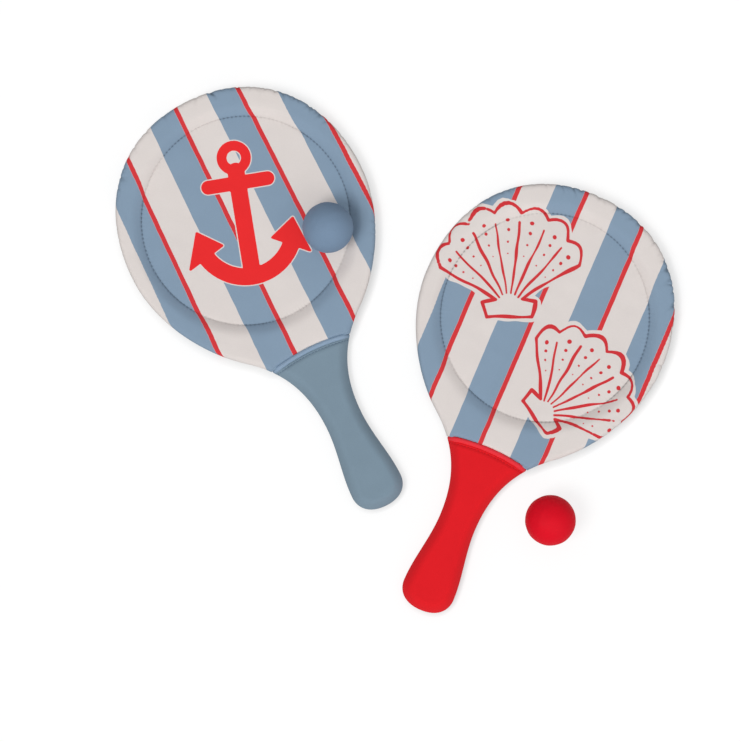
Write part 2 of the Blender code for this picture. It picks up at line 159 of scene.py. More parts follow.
class PaddlePlan:
    """A paddle seen from above: its edge, its seam, and how high its padding stands.

    The outer skin rolls over the rim in a curve of the power FULLNESS, squarer than the ROUND one inside it.
    """

    STEPS = 48
    CHUNK = 8192
    HALVINGS = 40
    FULLNESS = 4.5
    ROUND = 2.0

    def __init__(self, sizes: PaddleSizes) -> None:
        """Work out the right half of the edge, from the top of the head to the end of the handle."""
        self.sizes = sizes
        self.edge = self._half_edge()
        steps = np.hypot(*np.diff(self.edge, axis=0).T)
        self.lengths = np.concatenate([[0.0], np.cumsum(steps)])

    def _half_edge(self) -> np.ndarray:
        """The five spans of the edge."""
        s = self.sizes
        h = EdgeHandles()
        width = s.head_half_width
        top = (0.0, width + s.crown_rise)
        side = (width, s.head_widest_y)
        flare = (s.flare_half_width, -(width + s.flare_below_head))
        waist = (s.waist_half_width, -(width + s.waist_below_head))
        butt = (s.butt_half_width, -(width + s.butt_below_head))
        end = (0.0, -(width + s.end_below_head))
        slope = np.array((-math.sin(s.flare_angle), -math.cos(s.flare_angle)))
        above = h.flare_upwards * math.dist(side, flare)
        below = h.flare_downwards * math.dist(flare, waist)
        spans = (
            (top, (h.crown_outwards * side[0], top[1]),
             (side[0], side[1] + h.side_upwards * (top[1] - side[1])), side),
            (side, (side[0], side[1] - h.side_downwards * (side[1] - flare[1])),
             tuple(flare - slope * above), flare),
            (flare, tuple(flare + slope * below),
             (waist[0], waist[1] + h.waist_upwards * (flare[1] - waist[1])), waist),
            (waist, (waist[0], waist[1] - h.waist_downwards * (waist[1] - butt[1])),
             (butt[0], butt[1] + h.butt_upwards * (waist[1] - butt[1])), butt),
            (butt, (butt[0], butt[1] - h.butt_downwards * (butt[1] - end[1])),
             (h.end_outwards * butt[0], end[1]), end),
        )
        return np.vstack([np.array([top]), *(cubic_span(span, self.STEPS) for span in spans)])

    def inset(self, points: np.ndarray) -> np.ndarray:
        """How far points inside the edge lie from it.

        Args:
            points: Rows of x and y.

        Returns:
            One distance for each row.
        """
        start = self.edge[:-1]
        step = np.diff(self.edge, axis=0)
        square = (step**2).sum(axis=1)
        mirrored = np.column_stack([np.abs(points[:, 0]), points[:, 1]])
        found = np.empty(len(points))
        for first in range(0, len(points), self.CHUNK):
            away = mirrored[first:first + self.CHUNK, None, :] - start
            share = np.clip((away * step).sum(axis=2) / square, 0.0, 1.0)
            gap = away - share[..., None] * step
            found[first:first + self.CHUNK] = np.sqrt((gap**2).sum(axis=2).min(axis=1))
        return found

    def past_seam(self, points: np.ndarray) -> np.ndarray:
        """How far rows of points lie from the seam's arc, above nought on the head's side."""
        below = points[:, 1] - (self.sizes.seam_y - self.sizes.seam_radius)
        return np.hypot(points[:, 0], below) - self.sizes.seam_radius

    def seam_point(self, angle: float, offset: float) -> Point:
        """The point of the seam's arc at an angle, moved by an offset towards the head."""
        radius = self.sizes.seam_radius + offset
        middle = self.sizes.seam_y - self.sizes.seam_radius
        return radius * math.sin(angle), middle + radius * math.cos(angle)

    def seam_end(self, offset: float, inset: float = 0.0) -> float:
        """The angle at which the seam's arc, moved by an offset, comes within an inset of the edge."""
        low, high = 0.0, math.pi / 4
        for _ in range(self.HALVINGS):
            middle = (low + high) / 2
            x, y = self.seam_point(middle, offset)
            width = float(np.interp(-y, -self.edge[:, 1], self.edge[:, 0]))
            inside = x < width and self.inset(np.array([[x, y]]))[0] > inset
            low, high = (middle, high) if inside else (low, middle)
        return low

    def padding(self, points: np.ndarray, under: float = 0.0) -> np.ndarray:
        """Half the padding's thickness where only the edge rolls it off.

        Args:
            points: Rows of x and y.
            under: How deep under the outer skin to measure.

        Returns:
            One height for each row.
        """
        half = self.sizes.pad_half
        from_middle = np.maximum(half - self.inset(points), 0.0)
        full = self.FULLNESS if under == 0.0 else self.ROUND
        return np.maximum((half - under) ** full - from_middle**full, 0.0) ** (1 / full)

    def head_skin(self, points: np.ndarray, under: float = 0.0) -> np.ndarray:
        """Half the head's thickness, with the dish that the stitched circle pulls in."""
        s = self.sizes
        outside = np.maximum(np.hypot(points[:, 0], points[:, 1] + s.stitch_drop) - s.stitch_radius, 0.0)
        lift = np.sin(np.minimum(outside / (s.rim_width - s.pad_half), 1.0) * math.pi / 2)
        rise = s.face_top + (s.pad_half - s.face_top) * lift - under
        return np.maximum(np.minimum(self.padding(points, under), rise), s.gap / 2)


@dataclass(frozen=True)
class Place:
    """Where a paddle lies: the middle of its head and how far it is turned."""

    middle: Point
    turn: float
    height: float

    def matrix(self) -> Matrix:
        """The move from the paddle's own frame to the set's."""
        return Matrix.Translation((*self.middle, self.height)) @ Matrix.Rotation(self.turn, 4, "Z")


def head_middle(node: str, height: float) -> Point:
    """The middle of a head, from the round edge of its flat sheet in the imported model.

    Args:
        node: The name of the front face's node.
        height: How high the flat sheet lies.

    Returns:
        The centre of the circle through the sheet's corners.
    """
    corners = np.array([vertex.co[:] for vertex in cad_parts[node].data.vertices])
    ring = corners[np.abs(corners[:, 2] - height) < 0.01 * MILLIMETRE, :2]
    table = np.column_stack([2 * ring, np.ones(len(ring))])
    centre = np.linalg.lstsq(table, (ring**2).sum(axis=1), rcond=None)[0]
    return float(centre[0]), float(centre[1])


# Meshes


def turn_outwards(mesh: bpy.types.Mesh, weld: float = 0.0, least_edge: float = 0.0) -> None:
    """Turn a mesh's faces outwards and shade it smoothly.

    Args:
        mesh: The mesh, which is changed.
        weld: How close vertices have to be to become one, or nought to keep them all.
        least_edge: How short an edge has to be to go, or nought to keep them all.
    """
    shell = bmesh.new()
    shell.from_mesh(mesh)
    if weld:
        bmesh.ops.remove_doubles(shell, verts=shell.verts, dist=weld)
    if least_edge:
        bmesh.ops.dissolve_degenerate(shell, edges=shell.edges, dist=least_edge)
    bmesh.ops.recalc_face_normals(shell, faces=shell.faces)
    shell.to_mesh(mesh)
    shell.free()
    mesh.shade_smooth()


def write_values(mesh: bpy.types.Mesh, name: str, values: np.ndarray) -> None:
    """Keep one number for each vertex, for a material to read by name."""
    layer = mesh.attributes.new(name, "FLOAT", "POINT")
    layer.data.foreach_set("value", values.astype(np.float32))


def write_map(mesh: bpy.types.Mesh, name: str, places: np.ndarray) -> None:
    """Keep where each vertex lies on the flat cloth, in metres, as a UV map."""
    corners = np.empty(len(mesh.loops), dtype=np.int32)
    mesh.loops.foreach_get("vertex_index", corners)
    layer = mesh.uv_layers.new(name=name)
    layer.data.foreach_set("uv", places[corners].astype(np.float32).ravel())


def in_scene(name: str, data: bpy.types.ID) -> bpy.types.Object:
    """A new object in the scene."""
    made = bpy.data.objects.new(name, data)
    bpy.context.scene.collection.objects.link(made)
    return made


def add_piece(name: str, mesh: bpy.types.Mesh, material: bpy.types.Material) -> bpy.types.Object:
    """Put a mesh in the scene as a piece with one material."""
    mesh.materials.clear()
    mesh.materials.append(material)
    return in_scene(name, mesh)


def settled(piece: bpy.types.Object) -> bpy.types.Mesh:
    """The mesh of a piece as its modifiers leave it, after which the piece is gone."""
    bpy.context.view_layer.update()
    ready = piece.evaluated_get(bpy.context.evaluated_depsgraph_get())
    mesh = bpy.data.meshes.new_from_object(ready)
    name = piece.name
    bpy.data.objects.remove(piece, do_unlink=True)
    mesh.name = name
    return mesh


def hand_over(
    piece: bpy.types.Object, nodes: tuple[str, ...] = ()
) -> None:
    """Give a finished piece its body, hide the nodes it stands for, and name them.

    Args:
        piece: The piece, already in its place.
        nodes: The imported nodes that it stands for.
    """
    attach(piece, BODY)
    if nodes:
        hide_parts(*nodes)
    LOG.info("%s: %d faces, for %s", piece.name, len(piece.data.polygons), ", ".join(nodes) or "no node")


def soft_waves(points: np.ndarray, seed: int, lengths: Span, count: int = 9) -> np.ndarray:
    """A gentle unevenness between about -1 and 1, from a few plane waves.

    Args:
        points: Rows of x and y.
        seed: What the waves are drawn from.
        lengths: The shortest and the longest wave.
        count: How many waves are added.

    Returns:
        One value for each row.
    """
    draw = np.random.default_rng(seed)
    total = np.zeros(len(points))
    for _ in range(count):
        heading, phase = draw.uniform(0.0, 2 * math.pi, 2)
        wave = draw.uniform(*lengths)
        along = points[:, 0] * math.cos(heading) + points[:, 1] * math.sin(heading)
        total += np.sin(2 * math.pi * along / wave + phase)
    return total / math.sqrt(count)


# Print


def polygon_distance(points: np.ndarray, corners: np.ndarray) -> np.ndarray:
    """How far points lie outside a closed polygon, below nought inside it."""
    nearest = np.full(len(points), np.inf)
    inside = np.zeros(len(points), dtype=bool)
    for start, end in zip(corners, np.roll(corners, -1, axis=0)):
        nearest = np.minimum(nearest, stroke_distance(points, np.array([start, end]), 0.0))
        crossed = (start[1] <= points[:, 1]) != (end[1] <= points[:, 1])
        rise = end[1] - start[1] if end[1] != start[1] else 1.0
        at = start[0] + (points[:, 1] - start[1]) * (end[0] - start[0]) / rise
        inside ^= crossed & (points[:, 0] < at)
    return np.where(inside, -nearest, nearest)


def stroke_distance(points: np.ndarray, path: np.ndarray, half_width: float) -> np.ndarray:
    """How far points lie outside a line of a width that is drawn along a path."""
    nearest = np.full(len(points), np.inf)
    for start, end in zip(path, path[1:]):
        step = end - start
        share = np.clip((points - start) @ step / max(step @ step, 1e-12), 0.0, 1.0)
        nearest = np.minimum(nearest, np.hypot(*(points - start - share[:, None] * step).T))
    return nearest - half_width


def turned(points: np.ndarray, angle: float) -> np.ndarray:
    """Points as seen in a frame that is turned by an angle."""
    c, s = math.cos(angle), math.sin(angle)
    return np.column_stack([points[:, 0] * c + points[:, 1] * s, points[:, 1] * c - points[:, 0] * s])


def arc_points(centre: Point, radius: float, start: float, end: float, steps: int = 24) -> np.ndarray:
    """Points along an arc, with its angles in degrees from +X."""
    angles = np.radians(np.linspace(start, end, steps + 1))
    return np.column_stack([centre[0] + radius * np.cos(angles), centre[1] + radius * np.sin(angles)])


@dataclass(frozen=True)
class AnchorPrint:
    """A bold anchor, upright on the head."""

    rise: float = 0.004
    tilt: float = math.radians(-17.0)
    shank_half: float = 0.0076
    ring_at: float = 0.0510
    ring_radius: float = 0.0108
    ring_half: float = 0.0044
    stock_at: float = 0.0285
    stock_reach: float = 0.0265
    stock_half: float = 0.0062
    arm_middle: float = -0.0120
    arm_radius: float = 0.0430
    arm_half: float = 0.0076
    arm_spread: float = 66.0
    shank_short: float = 0.012
    fluke_reach: float = 0.0175
    fluke_tip: float = 27.0
    fluke_back: float = 4.0
    fluke_round: float = 0.0012
    halo: float = 0.0009

    def distances(self, places: np.ndarray) -> tuple[np.ndarray, np.ndarray]:
        """How far places on the cloth lie outside the print's ground and outside its ink."""
        at = turned(places - [0.0, self.rise], self.tilt)
        foot = self.arm_middle - self.arm_radius
        head = self.ring_at - self.shank_short
        shank = stroke_distance(at, np.array([(0.0, head), (0.0, foot)]), self.shank_half)
        bar = np.array([(-self.stock_reach, self.stock_at), (self.stock_reach, self.stock_at)])
        stock = stroke_distance(at, bar, self.stock_half)
        circle = arc_points((0.0, self.ring_at), self.ring_radius, 0, 360, 36)
        ring = stroke_distance(at, circle, self.ring_half)
        low, high = -90.0 - self.arm_spread, -90.0 + self.arm_spread
        bow = arc_points((0.0, self.arm_middle), self.arm_radius, low, high)
        arms = stroke_distance(at, bow, self.arm_half)
        ink = np.minimum.reduce([shank, stock, ring, arms])
        for angle, way in ((low, -1), (high, 1)):
            tip = self._on_arc(angle + way * self.fluke_tip, 0.0)
            back = angle - way * self.fluke_back
            base = [self._on_arc(back, way_out * self.fluke_reach) for way_out in (-1, 1)]
            ink = np.minimum(ink, polygon_distance(at, np.array([tip, *base])) - self.fluke_round)
        return ink - self.halo, ink

    def _on_arc(self, angle: float, out: float) -> Point:
        """A point beside the arms' arc, at an angle in degrees."""
        radius = self.arm_radius + out
        turn = math.radians(angle)
        return radius * math.cos(turn), self.arm_middle + radius * math.sin(turn)


@dataclass(frozen=True)
class ShellPrint:
    """A scallop shell in line, with dots between its ribs."""

    hinge: Point
    turn: float
    height: float
    spread: float = 60.0
    lobes: int = 7
    line_half: float = 0.0014
    halo: float = 0.0044
    wobble: float = 0.0006
    wobble_waves: Span = (0.020, 0.060)
    line_unevenness: float = 0.25
    line_waves: Span = (0.015, 0.045)
    halo_unevenness: float = 0.18
    halo_waves: Span = (0.012, 0.040)
    rib: Span = (0.15, 0.88)
    rib_thickness: float = 0.8
    valley: float = 0.92
    lobe_rise: float = 0.08
    shoulder_drop: float = 0.16
    waist: Point = (0.12, 0.6)
    ear: Point = (0.25, 0.35)
    foot: Point = (0.86, 0.10)
    dots: tuple[tuple[float, float], ...] = ((0.50, 0.0008), (0.62, 0.0011), (0.73, 0.0015), (0.83, 0.0019))

    def distances(self, places: np.ndarray) -> tuple[np.ndarray, np.ndarray]:
        """How far places on the cloth lie outside the shell and outside its ink."""
        at = turned(places - np.array(self.hinge), self.turn)
        drift = [soft_waves(at, seed, self.wobble_waves) for seed in (5, 6)]
        at = at + self.wobble * np.column_stack(drift)
        outside = polygon_distance(at, self._outline())
        thick = self.line_half * (1.0 + self.line_unevenness * soft_waves(at, 7, self.line_waves))
        ink = np.abs(outside) - thick
        for number in range(1, self.lobes):
            bearing = self._bearing(number)
            rib = np.array([self._ray(bearing, share) for share in self.rib])
            ink = np.minimum(ink, stroke_distance(at, rib, 0.0) - self.rib_thickness * thick)
        for number in range(self.lobes):
            for share, radius in self.dots:
                spot = np.array(self._ray(self._bearing(number + 0.5), share))
                ink = np.minimum(ink, np.hypot(*(at - spot).T) - radius)
        ground = outside - self.halo * (1.0 + self.halo_unevenness * soft_waves(at, 8, self.halo_waves))
        return ground, ink

    def _bearing(self, number: float) -> float:
        """The angle from the shell's middle, in degrees, at which a lobe starts."""
        return self.spread * (2 * number / self.lobes - 1)

    def _reach(self, bearing: float) -> float:
        """How far the scalloped edge lies from the hinge."""
        lobe = abs(math.sin(math.pi * self.lobes * (bearing / self.spread + 1) / 2))
        drop = self.shoulder_drop * (bearing / self.spread) ** 2
        return self.height * (self.valley + self.lobe_rise * lobe) * (1 - drop)

    def _ray(self, bearing: float, share: float) -> Point:
        """A point on the way from the hinge to the scalloped edge."""
        reach = share * self._reach(bearing)
        return reach * math.sin(math.radians(bearing)), reach * math.cos(math.radians(bearing))

    def _outline(self) -> np.ndarray:
        """The shell's closed outline: the scalloped edge and the two ears at the hinge."""
        bearings = np.linspace(-self.spread, self.spread, 8 * self.lobes + 1)
        fan = [self._ray(bearing, 1.0) for bearing in bearings]
        waist = self.height * self.waist[0]
        ear = self.height * self.ear[0]
        low = -self.height * self.foot[1]
        right = [(waist, waist * self.waist[1]), (ear, waist * self.ear[1]), (ear * self.foot[0], low)]
        left = [(-across, up) for across, up in reversed(right)]
        return np.array([*fan, *right, *left])


@dataclass(frozen=True)
class StripePrint:
    """The striped cloth: a blue band, a thin red line beside it and off-white between."""

    period: float
    blue_from: float
    blue_width: float
    red_from: float
    red_width: float
    fan: float

    def flat_place(self, places: np.ndarray) -> np.ndarray:
        """Where places on the face lie on the straight cloth, which was pulled into a slight fan."""
        return np.column_stack([places[:, 0] / (1.0 + self.fan * places[:, 1]), places[:, 1]])


def motif_distances(motif: Motif, places: np.ndarray) -> tuple[np.ndarray, np.ndarray]:
    """How far places on a face lie outside its motif's ground and outside its ink."""
    if motif is Motif.ANCHOR:
        return AnchorPrint().distances(places)
    shells = (
        ShellPrint((-0.0330, -0.0050), math.radians(24.0), 0.0930),
        ShellPrint((0.0310, -0.0800), math.radians(-32.0), 0.0860),
    )
    found = [shell.distances(places) for shell in shells]
    return np.minimum(found[0][0], found[1][0]), np.minimum(found[0][1], found[1][1])


# Finishes


class Wiring:
    """A node tree that is wired by short calls."""

    def __init__(self, tree: bpy.types.NodeTree) -> None:
        """Start on a tree."""
        self.tree = tree

    def node(self, kind: str, settings: dict | None = None, **inputs: object) -> bpy.types.Node:
        """Add a node.

        Args:
            kind: The node's type.
            settings: Its own options.
            inputs: Values or output sockets for its inputs, by name with _ for a space, or by number after _.

        Returns:
            The new node.
        """
        made = self.tree.nodes.new(kind)
        for name, value in (settings or {}).items():
            setattr(made, name, value)
        for name, value in inputs.items():
            key = int(name[1:]) if name[1:].isdigit() else name.replace("_", " ")
            self.feed(made.inputs[key], value)
        return made

    def feed(self, socket: bpy.types.NodeSocket, value: object) -> None:
        """Link an output to a socket, or set the socket's own value."""
        if isinstance(value, bpy.types.NodeSocket):
            self.tree.links.new(value, socket)
        else:
            socket.default_value = value

    def math(self, operation: str, *values: object) -> bpy.types.NodeSocket:
        """The result of a Math node."""
        inputs = {f"_{number}": value for number, value in enumerate(values)}
        return self.node("ShaderNodeMath", {"operation": operation}, **inputs).outputs[0]

    def ramp(self, value: object, low: object, high: object) -> bpy.types.NodeSocket:
        """A smooth step from 0 at low to 1 at high."""
        settings = {"interpolation_type": "SMOOTHSTEP"}
        return self.node("ShaderNodeMapRange", settings, _0=value, _1=low, _2=high).outputs[0]

    def grey(self, value: object) -> bpy.types.NodeSocket:
        """A value as a grey colour."""
        return self.node("ShaderNodeCombineColor", _0=value, _1=value, _2=value).outputs[0]

    def mix(self, share: object, first: object, second: object, blend: str = "MIX") -> bpy.types.NodeSocket:
        """A colour mixed from two."""
        made = self.node("ShaderNodeMix", {"data_type": "RGBA", "blend_type": blend}, _0=share)
        self.feed(made.inputs[6], first)
        self.feed(made.inputs[7], second)
        return made.outputs[2]


def shader_group(
    name: str, inputs: dict[str, str], outputs: dict[str, str]
) -> tuple[bpy.types.NodeTree, Wiring]:
    """An empty shader group with named sockets.

    Args:
        name: The group's name.
        inputs: The kind of each input socket by name.
        outputs: The kind of each output socket by name.

    Returns:
        The group and the wiring to fill it with.
    """
    tree = bpy.data.node_groups.new(name, "ShaderNodeTree")
    for way, sockets in (("INPUT", inputs), ("OUTPUT", outputs)):
        for label, kind in sockets.items():
            tree.interface.new_socket(label, in_out=way, socket_type="NodeSocket" + kind)
    return tree, Wiring(tree)


class SharedEffects:
    """The node groups that more than one finish uses, each built once."""

    ROW_SLANT = 1.1
    ROW_PITCH = 1.2
    COLUMN_SHARE = 0.6
    BROAD_SCALE = 38.0
    FINE_SCALE = 900.0
    PERIODS_ADDED = 20.5

    def __init__(self) -> None:
        """Build the groups."""
        self.knit = self._knit()
        self.mottle = self._mottle()
        self.stripes = self._stripes()

    def _knit(self) -> bpy.types.NodeTree:
        """Fine knitting: columns of loops crossed by rows, from a place on the cloth in metres."""
        tree, w = shader_group("knit", {"Cloth": "Vector", "Loop": "Float"}, {"Height": "Float"})
        given = w.node("NodeGroupInput").outputs
        apart = w.node("ShaderNodeSeparateXYZ", _0=given[0]).outputs
        across = w.math("DIVIDE", apart[0], given[1])
        along = w.math("DIVIDE", apart[1], given[1])
        column = w.math("ABSOLUTE", w.math("SINE", w.math("MULTIPLY", across, math.pi)))
        slant = w.math("MULTIPLY", w.math("PINGPONG", across, 0.5), self.ROW_SLANT)
        turn = w.math("MULTIPLY", w.math("ADD", along, slant), math.pi * self.ROW_PITCH)
        row = w.math("ABSOLUTE", w.math("SINE", turn))
        share = w.math("MULTIPLY", column, self.COLUMN_SHARE)
        height = w.math("ADD", share, w.math("MULTIPLY", row, 1.0 - self.COLUMN_SHARE))
        w.node("NodeGroupOutput", _0=height)
        return tree

    def _mottle(self) -> bpy.types.NodeTree:
        """Slight unevenness of tone: a factor round 1, and the fine part of it by itself."""
        inputs = {"Place": "Vector", "Broad": "Float", "Fine": "Float"}
        tree, w = shader_group("mottle", inputs, {"Tone": "Float", "Grain": "Float"})
        given = w.node("NodeGroupInput").outputs
        broad_noise = {"Vector": given[0], "Scale": self.BROAD_SCALE, "Detail": 3.0, "Roughness": 0.55}
        fine_noise = {"Vector": given[0], "Scale": self.FINE_SCALE, "Detail": 2.0, "Roughness": 0.6}
        broad = w.node("ShaderNodeTexNoise", **broad_noise).outputs[0]
        fine = w.node("ShaderNodeTexNoise", **fine_noise).outputs[0]
        broad_part = w.math("MULTIPLY", w.math("SUBTRACT", broad, 0.5), given[1])
        fine_part = w.math("MULTIPLY", w.math("SUBTRACT", fine, 0.5), given[2])
        tone = w.math("ADD", w.math("ADD", broad_part, fine_part), 1.0)
        w.node("NodeGroupOutput", _0=tone, _1=fine)
        return tree

    def _stripes(self) -> bpy.types.NodeTree:
        """Masks of the blue band and of the red line, from a place across the cloth in metres."""
        tree, w = shader_group(
            "stripes",
            {"Across": "Float", "Period": "Float", "Blue From": "Float", "Blue Width": "Float",
             "Red From": "Float", "Red Width": "Float", "Edge": "Float"},
            {"Blue": "Float", "Red": "Float"},
        )
        given = w.node("NodeGroupInput").outputs
        masks = []
        for start, width in ((given[2], given[3]), (given[4], given[5])):
            half = w.math("MULTIPLY", width, 0.5)
            from_middle = w.math("SUBTRACT", given[0], w.math("ADD", start, half))
            shifted = w.math("ADD", from_middle, w.math("MULTIPLY", given[1], self.PERIODS_ADDED))
            wrapped = w.math("SUBTRACT", w.math("FLOORED_MODULO", shifted, given[1]),
                             w.math("MULTIPLY", given[1], 0.5))
            outside = w.math("SUBTRACT", w.math("ABSOLUTE", wrapped), half)
            masks.append(w.ramp(outside, given[6], w.math("MULTIPLY", given[6], -1.0)))
        w.node("NodeGroupOutput", _0=masks[0], _1=masks[1])
        return tree


@dataclass(frozen=True)
class ClothFinish:
    """A plain knitted cloth over foam."""

    name: str
    colour: Colour
    roughness: float = 0.86
    sheen: float = 0.08
    sheen_roughness: float = 0.45
    specular: float = 0.12
    loop: float = 0.0009
    broad: float = 0.10
    fine: float = 0.10
    relief: float = 0.00008
    relief_strength: float = 0.5
    grain_height: float = 0.5

    def material(self, effects: SharedEffects) -> bpy.types.Material:
        """The cloth in one colour."""
        material, w, shader = new_material(self.name)
        self.dress(effects, w, shader, (*self.colour, 1.0))
        return material

    def dress(self, effects: SharedEffects, w: Wiring, shader: bpy.types.Node, colour: object) -> None:
        """Wire tone, knit and grain into a shader.

        Args:
            effects: The shared groups.
            w: The material's wiring.
            shader: The Principled shader.
            colour: A colour, or the socket that gives it.
        """
        place = w.node("ShaderNodeTexCoord").outputs["Object"]
        cloth = w.node("ShaderNodeUVMap", {"uv_map": "cloth"}).outputs[0]
        mottle = {"node_tree": effects.mottle}
        tone = w.node("ShaderNodeGroup", mottle, Place=place, Broad=self.broad, Fine=self.fine)
        knit = w.node("ShaderNodeGroup", {"node_tree": effects.knit}, Cloth=cloth, Loop=self.loop)
        grey = w.grey(tone.outputs[0])
        w.feed(shader.inputs["Base Color"], w.mix(1.0, colour, grey, "MULTIPLY"))
        height = w.math("ADD", knit.outputs[0], w.math("MULTIPLY", tone.outputs[1], self.grain_height))
        bump = w.node("ShaderNodeBump", Strength=self.relief_strength, Distance=self.relief, Height=height)
        w.feed(shader.inputs["Normal"], bump.outputs[0])
        shader.inputs["Roughness"].default_value = self.roughness
        shader.inputs["Sheen Weight"].default_value = self.sheen
        shader.inputs["Sheen Roughness"].default_value = self.sheen_roughness
        shader.inputs["Specular IOR Level"].default_value = self.specular


@dataclass(frozen=True)
class PrintedFinish:
    """The striped and printed cloth of a paddle's faces."""

    cloth: ClothFinish
    stripes: StripePrint
    blue: Colour
    red_line: Colour
    ink: Colour
    edge: float = 0.00022
    # Painted shade: how much the sewn attribute darkens the colour on the blue band and on the off-white
    # cloth.
    painted_shade_on_blue: float = 0.60
    painted_shade_on_white: float = 0.18
    wander: float = 0.0008
    wander_scale: float = 70.0

    def material(self, effects: SharedEffects) -> bpy.types.Material:
        """Off-white cloth with stripes, a motif, and painted shade where the sewn attribute marks the stitch
        groove, its needle holes, the edge creases and the circle's stitches.
        """
        material, w, shader = new_material(self.cloth.name)
        cloth = w.node("ShaderNodeUVMap", {"uv_map": "cloth"}).outputs[0]
        wobble = w.node("ShaderNodeTexNoise", Vector=cloth, Scale=self.wander_scale, Detail=1.0).outputs[0]
        shift = w.math("MULTIPLY", w.math("SUBTRACT", wobble, 0.5), self.wander)
        across = w.math("ADD", w.node("ShaderNodeSeparateXYZ", _0=cloth).outputs[0], shift)
        s = self.stripes
        bands = w.node(
            "ShaderNodeGroup", {"node_tree": effects.stripes}, Across=across, Period=s.period,
            Blue_From=s.blue_from, Blue_Width=s.blue_width, Red_From=s.red_from, Red_Width=s.red_width,
            Edge=self.edge,
        ).outputs
        ground = w.node("ShaderNodeAttribute", {"attribute_name": "motif_ground"}).outputs["Fac"]
        ink = w.node("ShaderNodeAttribute", {"attribute_name": "motif_ink"}).outputs["Fac"]
        sewn = w.node("ShaderNodeAttribute", {"attribute_name": "sewn"}).outputs["Fac"]
        plain = (*self.cloth.colour, 1.0)
        colour = w.mix(bands[0], plain, (*self.blue, 1.0))
        colour = w.mix(bands[1], colour, (*self.red_line, 1.0))
        colour = w.mix(w.ramp(ground, self.edge, -self.edge), colour, plain)
        colour = w.mix(w.ramp(ink, self.edge, -self.edge), colour, (*self.ink, 1.0))
        # Painted shade: darken the colour where the sewn attribute marks groove, holes, creases and stitches,
        # more on blue than on white.
        blue_extra_painted_shade = w.math("MULTIPLY", bands[0], self.painted_shade_on_blue - self.painted_shade_on_white)
        painted_shade_factor = w.math("SUBTRACT", 1.0, w.math("MULTIPLY", sewn, w.math("ADD", blue_extra_painted_shade, self.painted_shade_on_white)))
        grey = w.grey(painted_shade_factor)
        self.cloth.dress(effects, w, shader, w.mix(1.0, colour, grey, "MULTIPLY"))
        return material


@dataclass(frozen=True)
class FoamFinish:
    """Smooth foam rubber with a fine skin."""

    name: str
    colour: Colour
    roughness: float = 0.62
    specular: float = 0.12
    broad: float = 0.12
    fine: float = 0.14
    pore_scale: float = 1400.0
    pore_width: float = 0.45
    relief: float = 0.00006
    relief_strength: float = 0.25

    def material(self, effects: SharedEffects) -> bpy.types.Material:
        """Foam rubber in one colour, slightly uneven."""
        material, w, shader = new_material(self.name)
        place = w.node("ShaderNodeTexCoord").outputs["Object"]
        mottle = {"node_tree": effects.mottle}
        tone = w.node("ShaderNodeGroup", mottle, Place=place, Broad=self.broad, Fine=self.fine)
        grey = w.grey(tone.outputs[0])
        w.feed(shader.inputs["Base Color"], w.mix(1.0, (*self.colour, 1.0), grey, "MULTIPLY"))
        pores = w.node("ShaderNodeTexVoronoi", Vector=place, Scale=self.pore_scale).outputs["Distance"]
        height = w.math("ADD", w.ramp(pores, 0.0, self.pore_width), tone.outputs[1])
        bump = w.node("ShaderNodeBump", Strength=self.relief_strength, Distance=self.relief, Height=height)
        w.feed(shader.inputs["Normal"], bump.outputs[0])
        rough = w.math("MULTIPLY", tone.outputs[0], self.roughness)
        w.feed(shader.inputs["Roughness"], rough)
        shader.inputs["Specular IOR Level"].default_value = self.specular
        return material


def new_material(name: str) -> tuple[bpy.types.Material, Wiring, bpy.types.Node]:
    """A node material, its wiring and its Principled shader."""
    material = bpy.data.materials.new(name)
    material.use_nodes = True
    return material, Wiring(material.node_tree), material.node_tree.nodes["Principled BSDF"]


# Stitches


@dataclass(frozen=True)
class Stitch:
    """The size of one stitch."""

    length: float
    thread_radius: float

    def sizes(self, pitch: float) -> dict[str, float]:
        """Values for the inputs of the stitches' tree, with one stitch at each pitch."""
        return {"Pitch": pitch, "Stitch Length": self.length, "Thread Radius": self.thread_radius}


CIRCLE_STITCH = Stitch(0.0027, 0.00034)
TOPSTITCH = Stitch(0.0024, 0.00036)


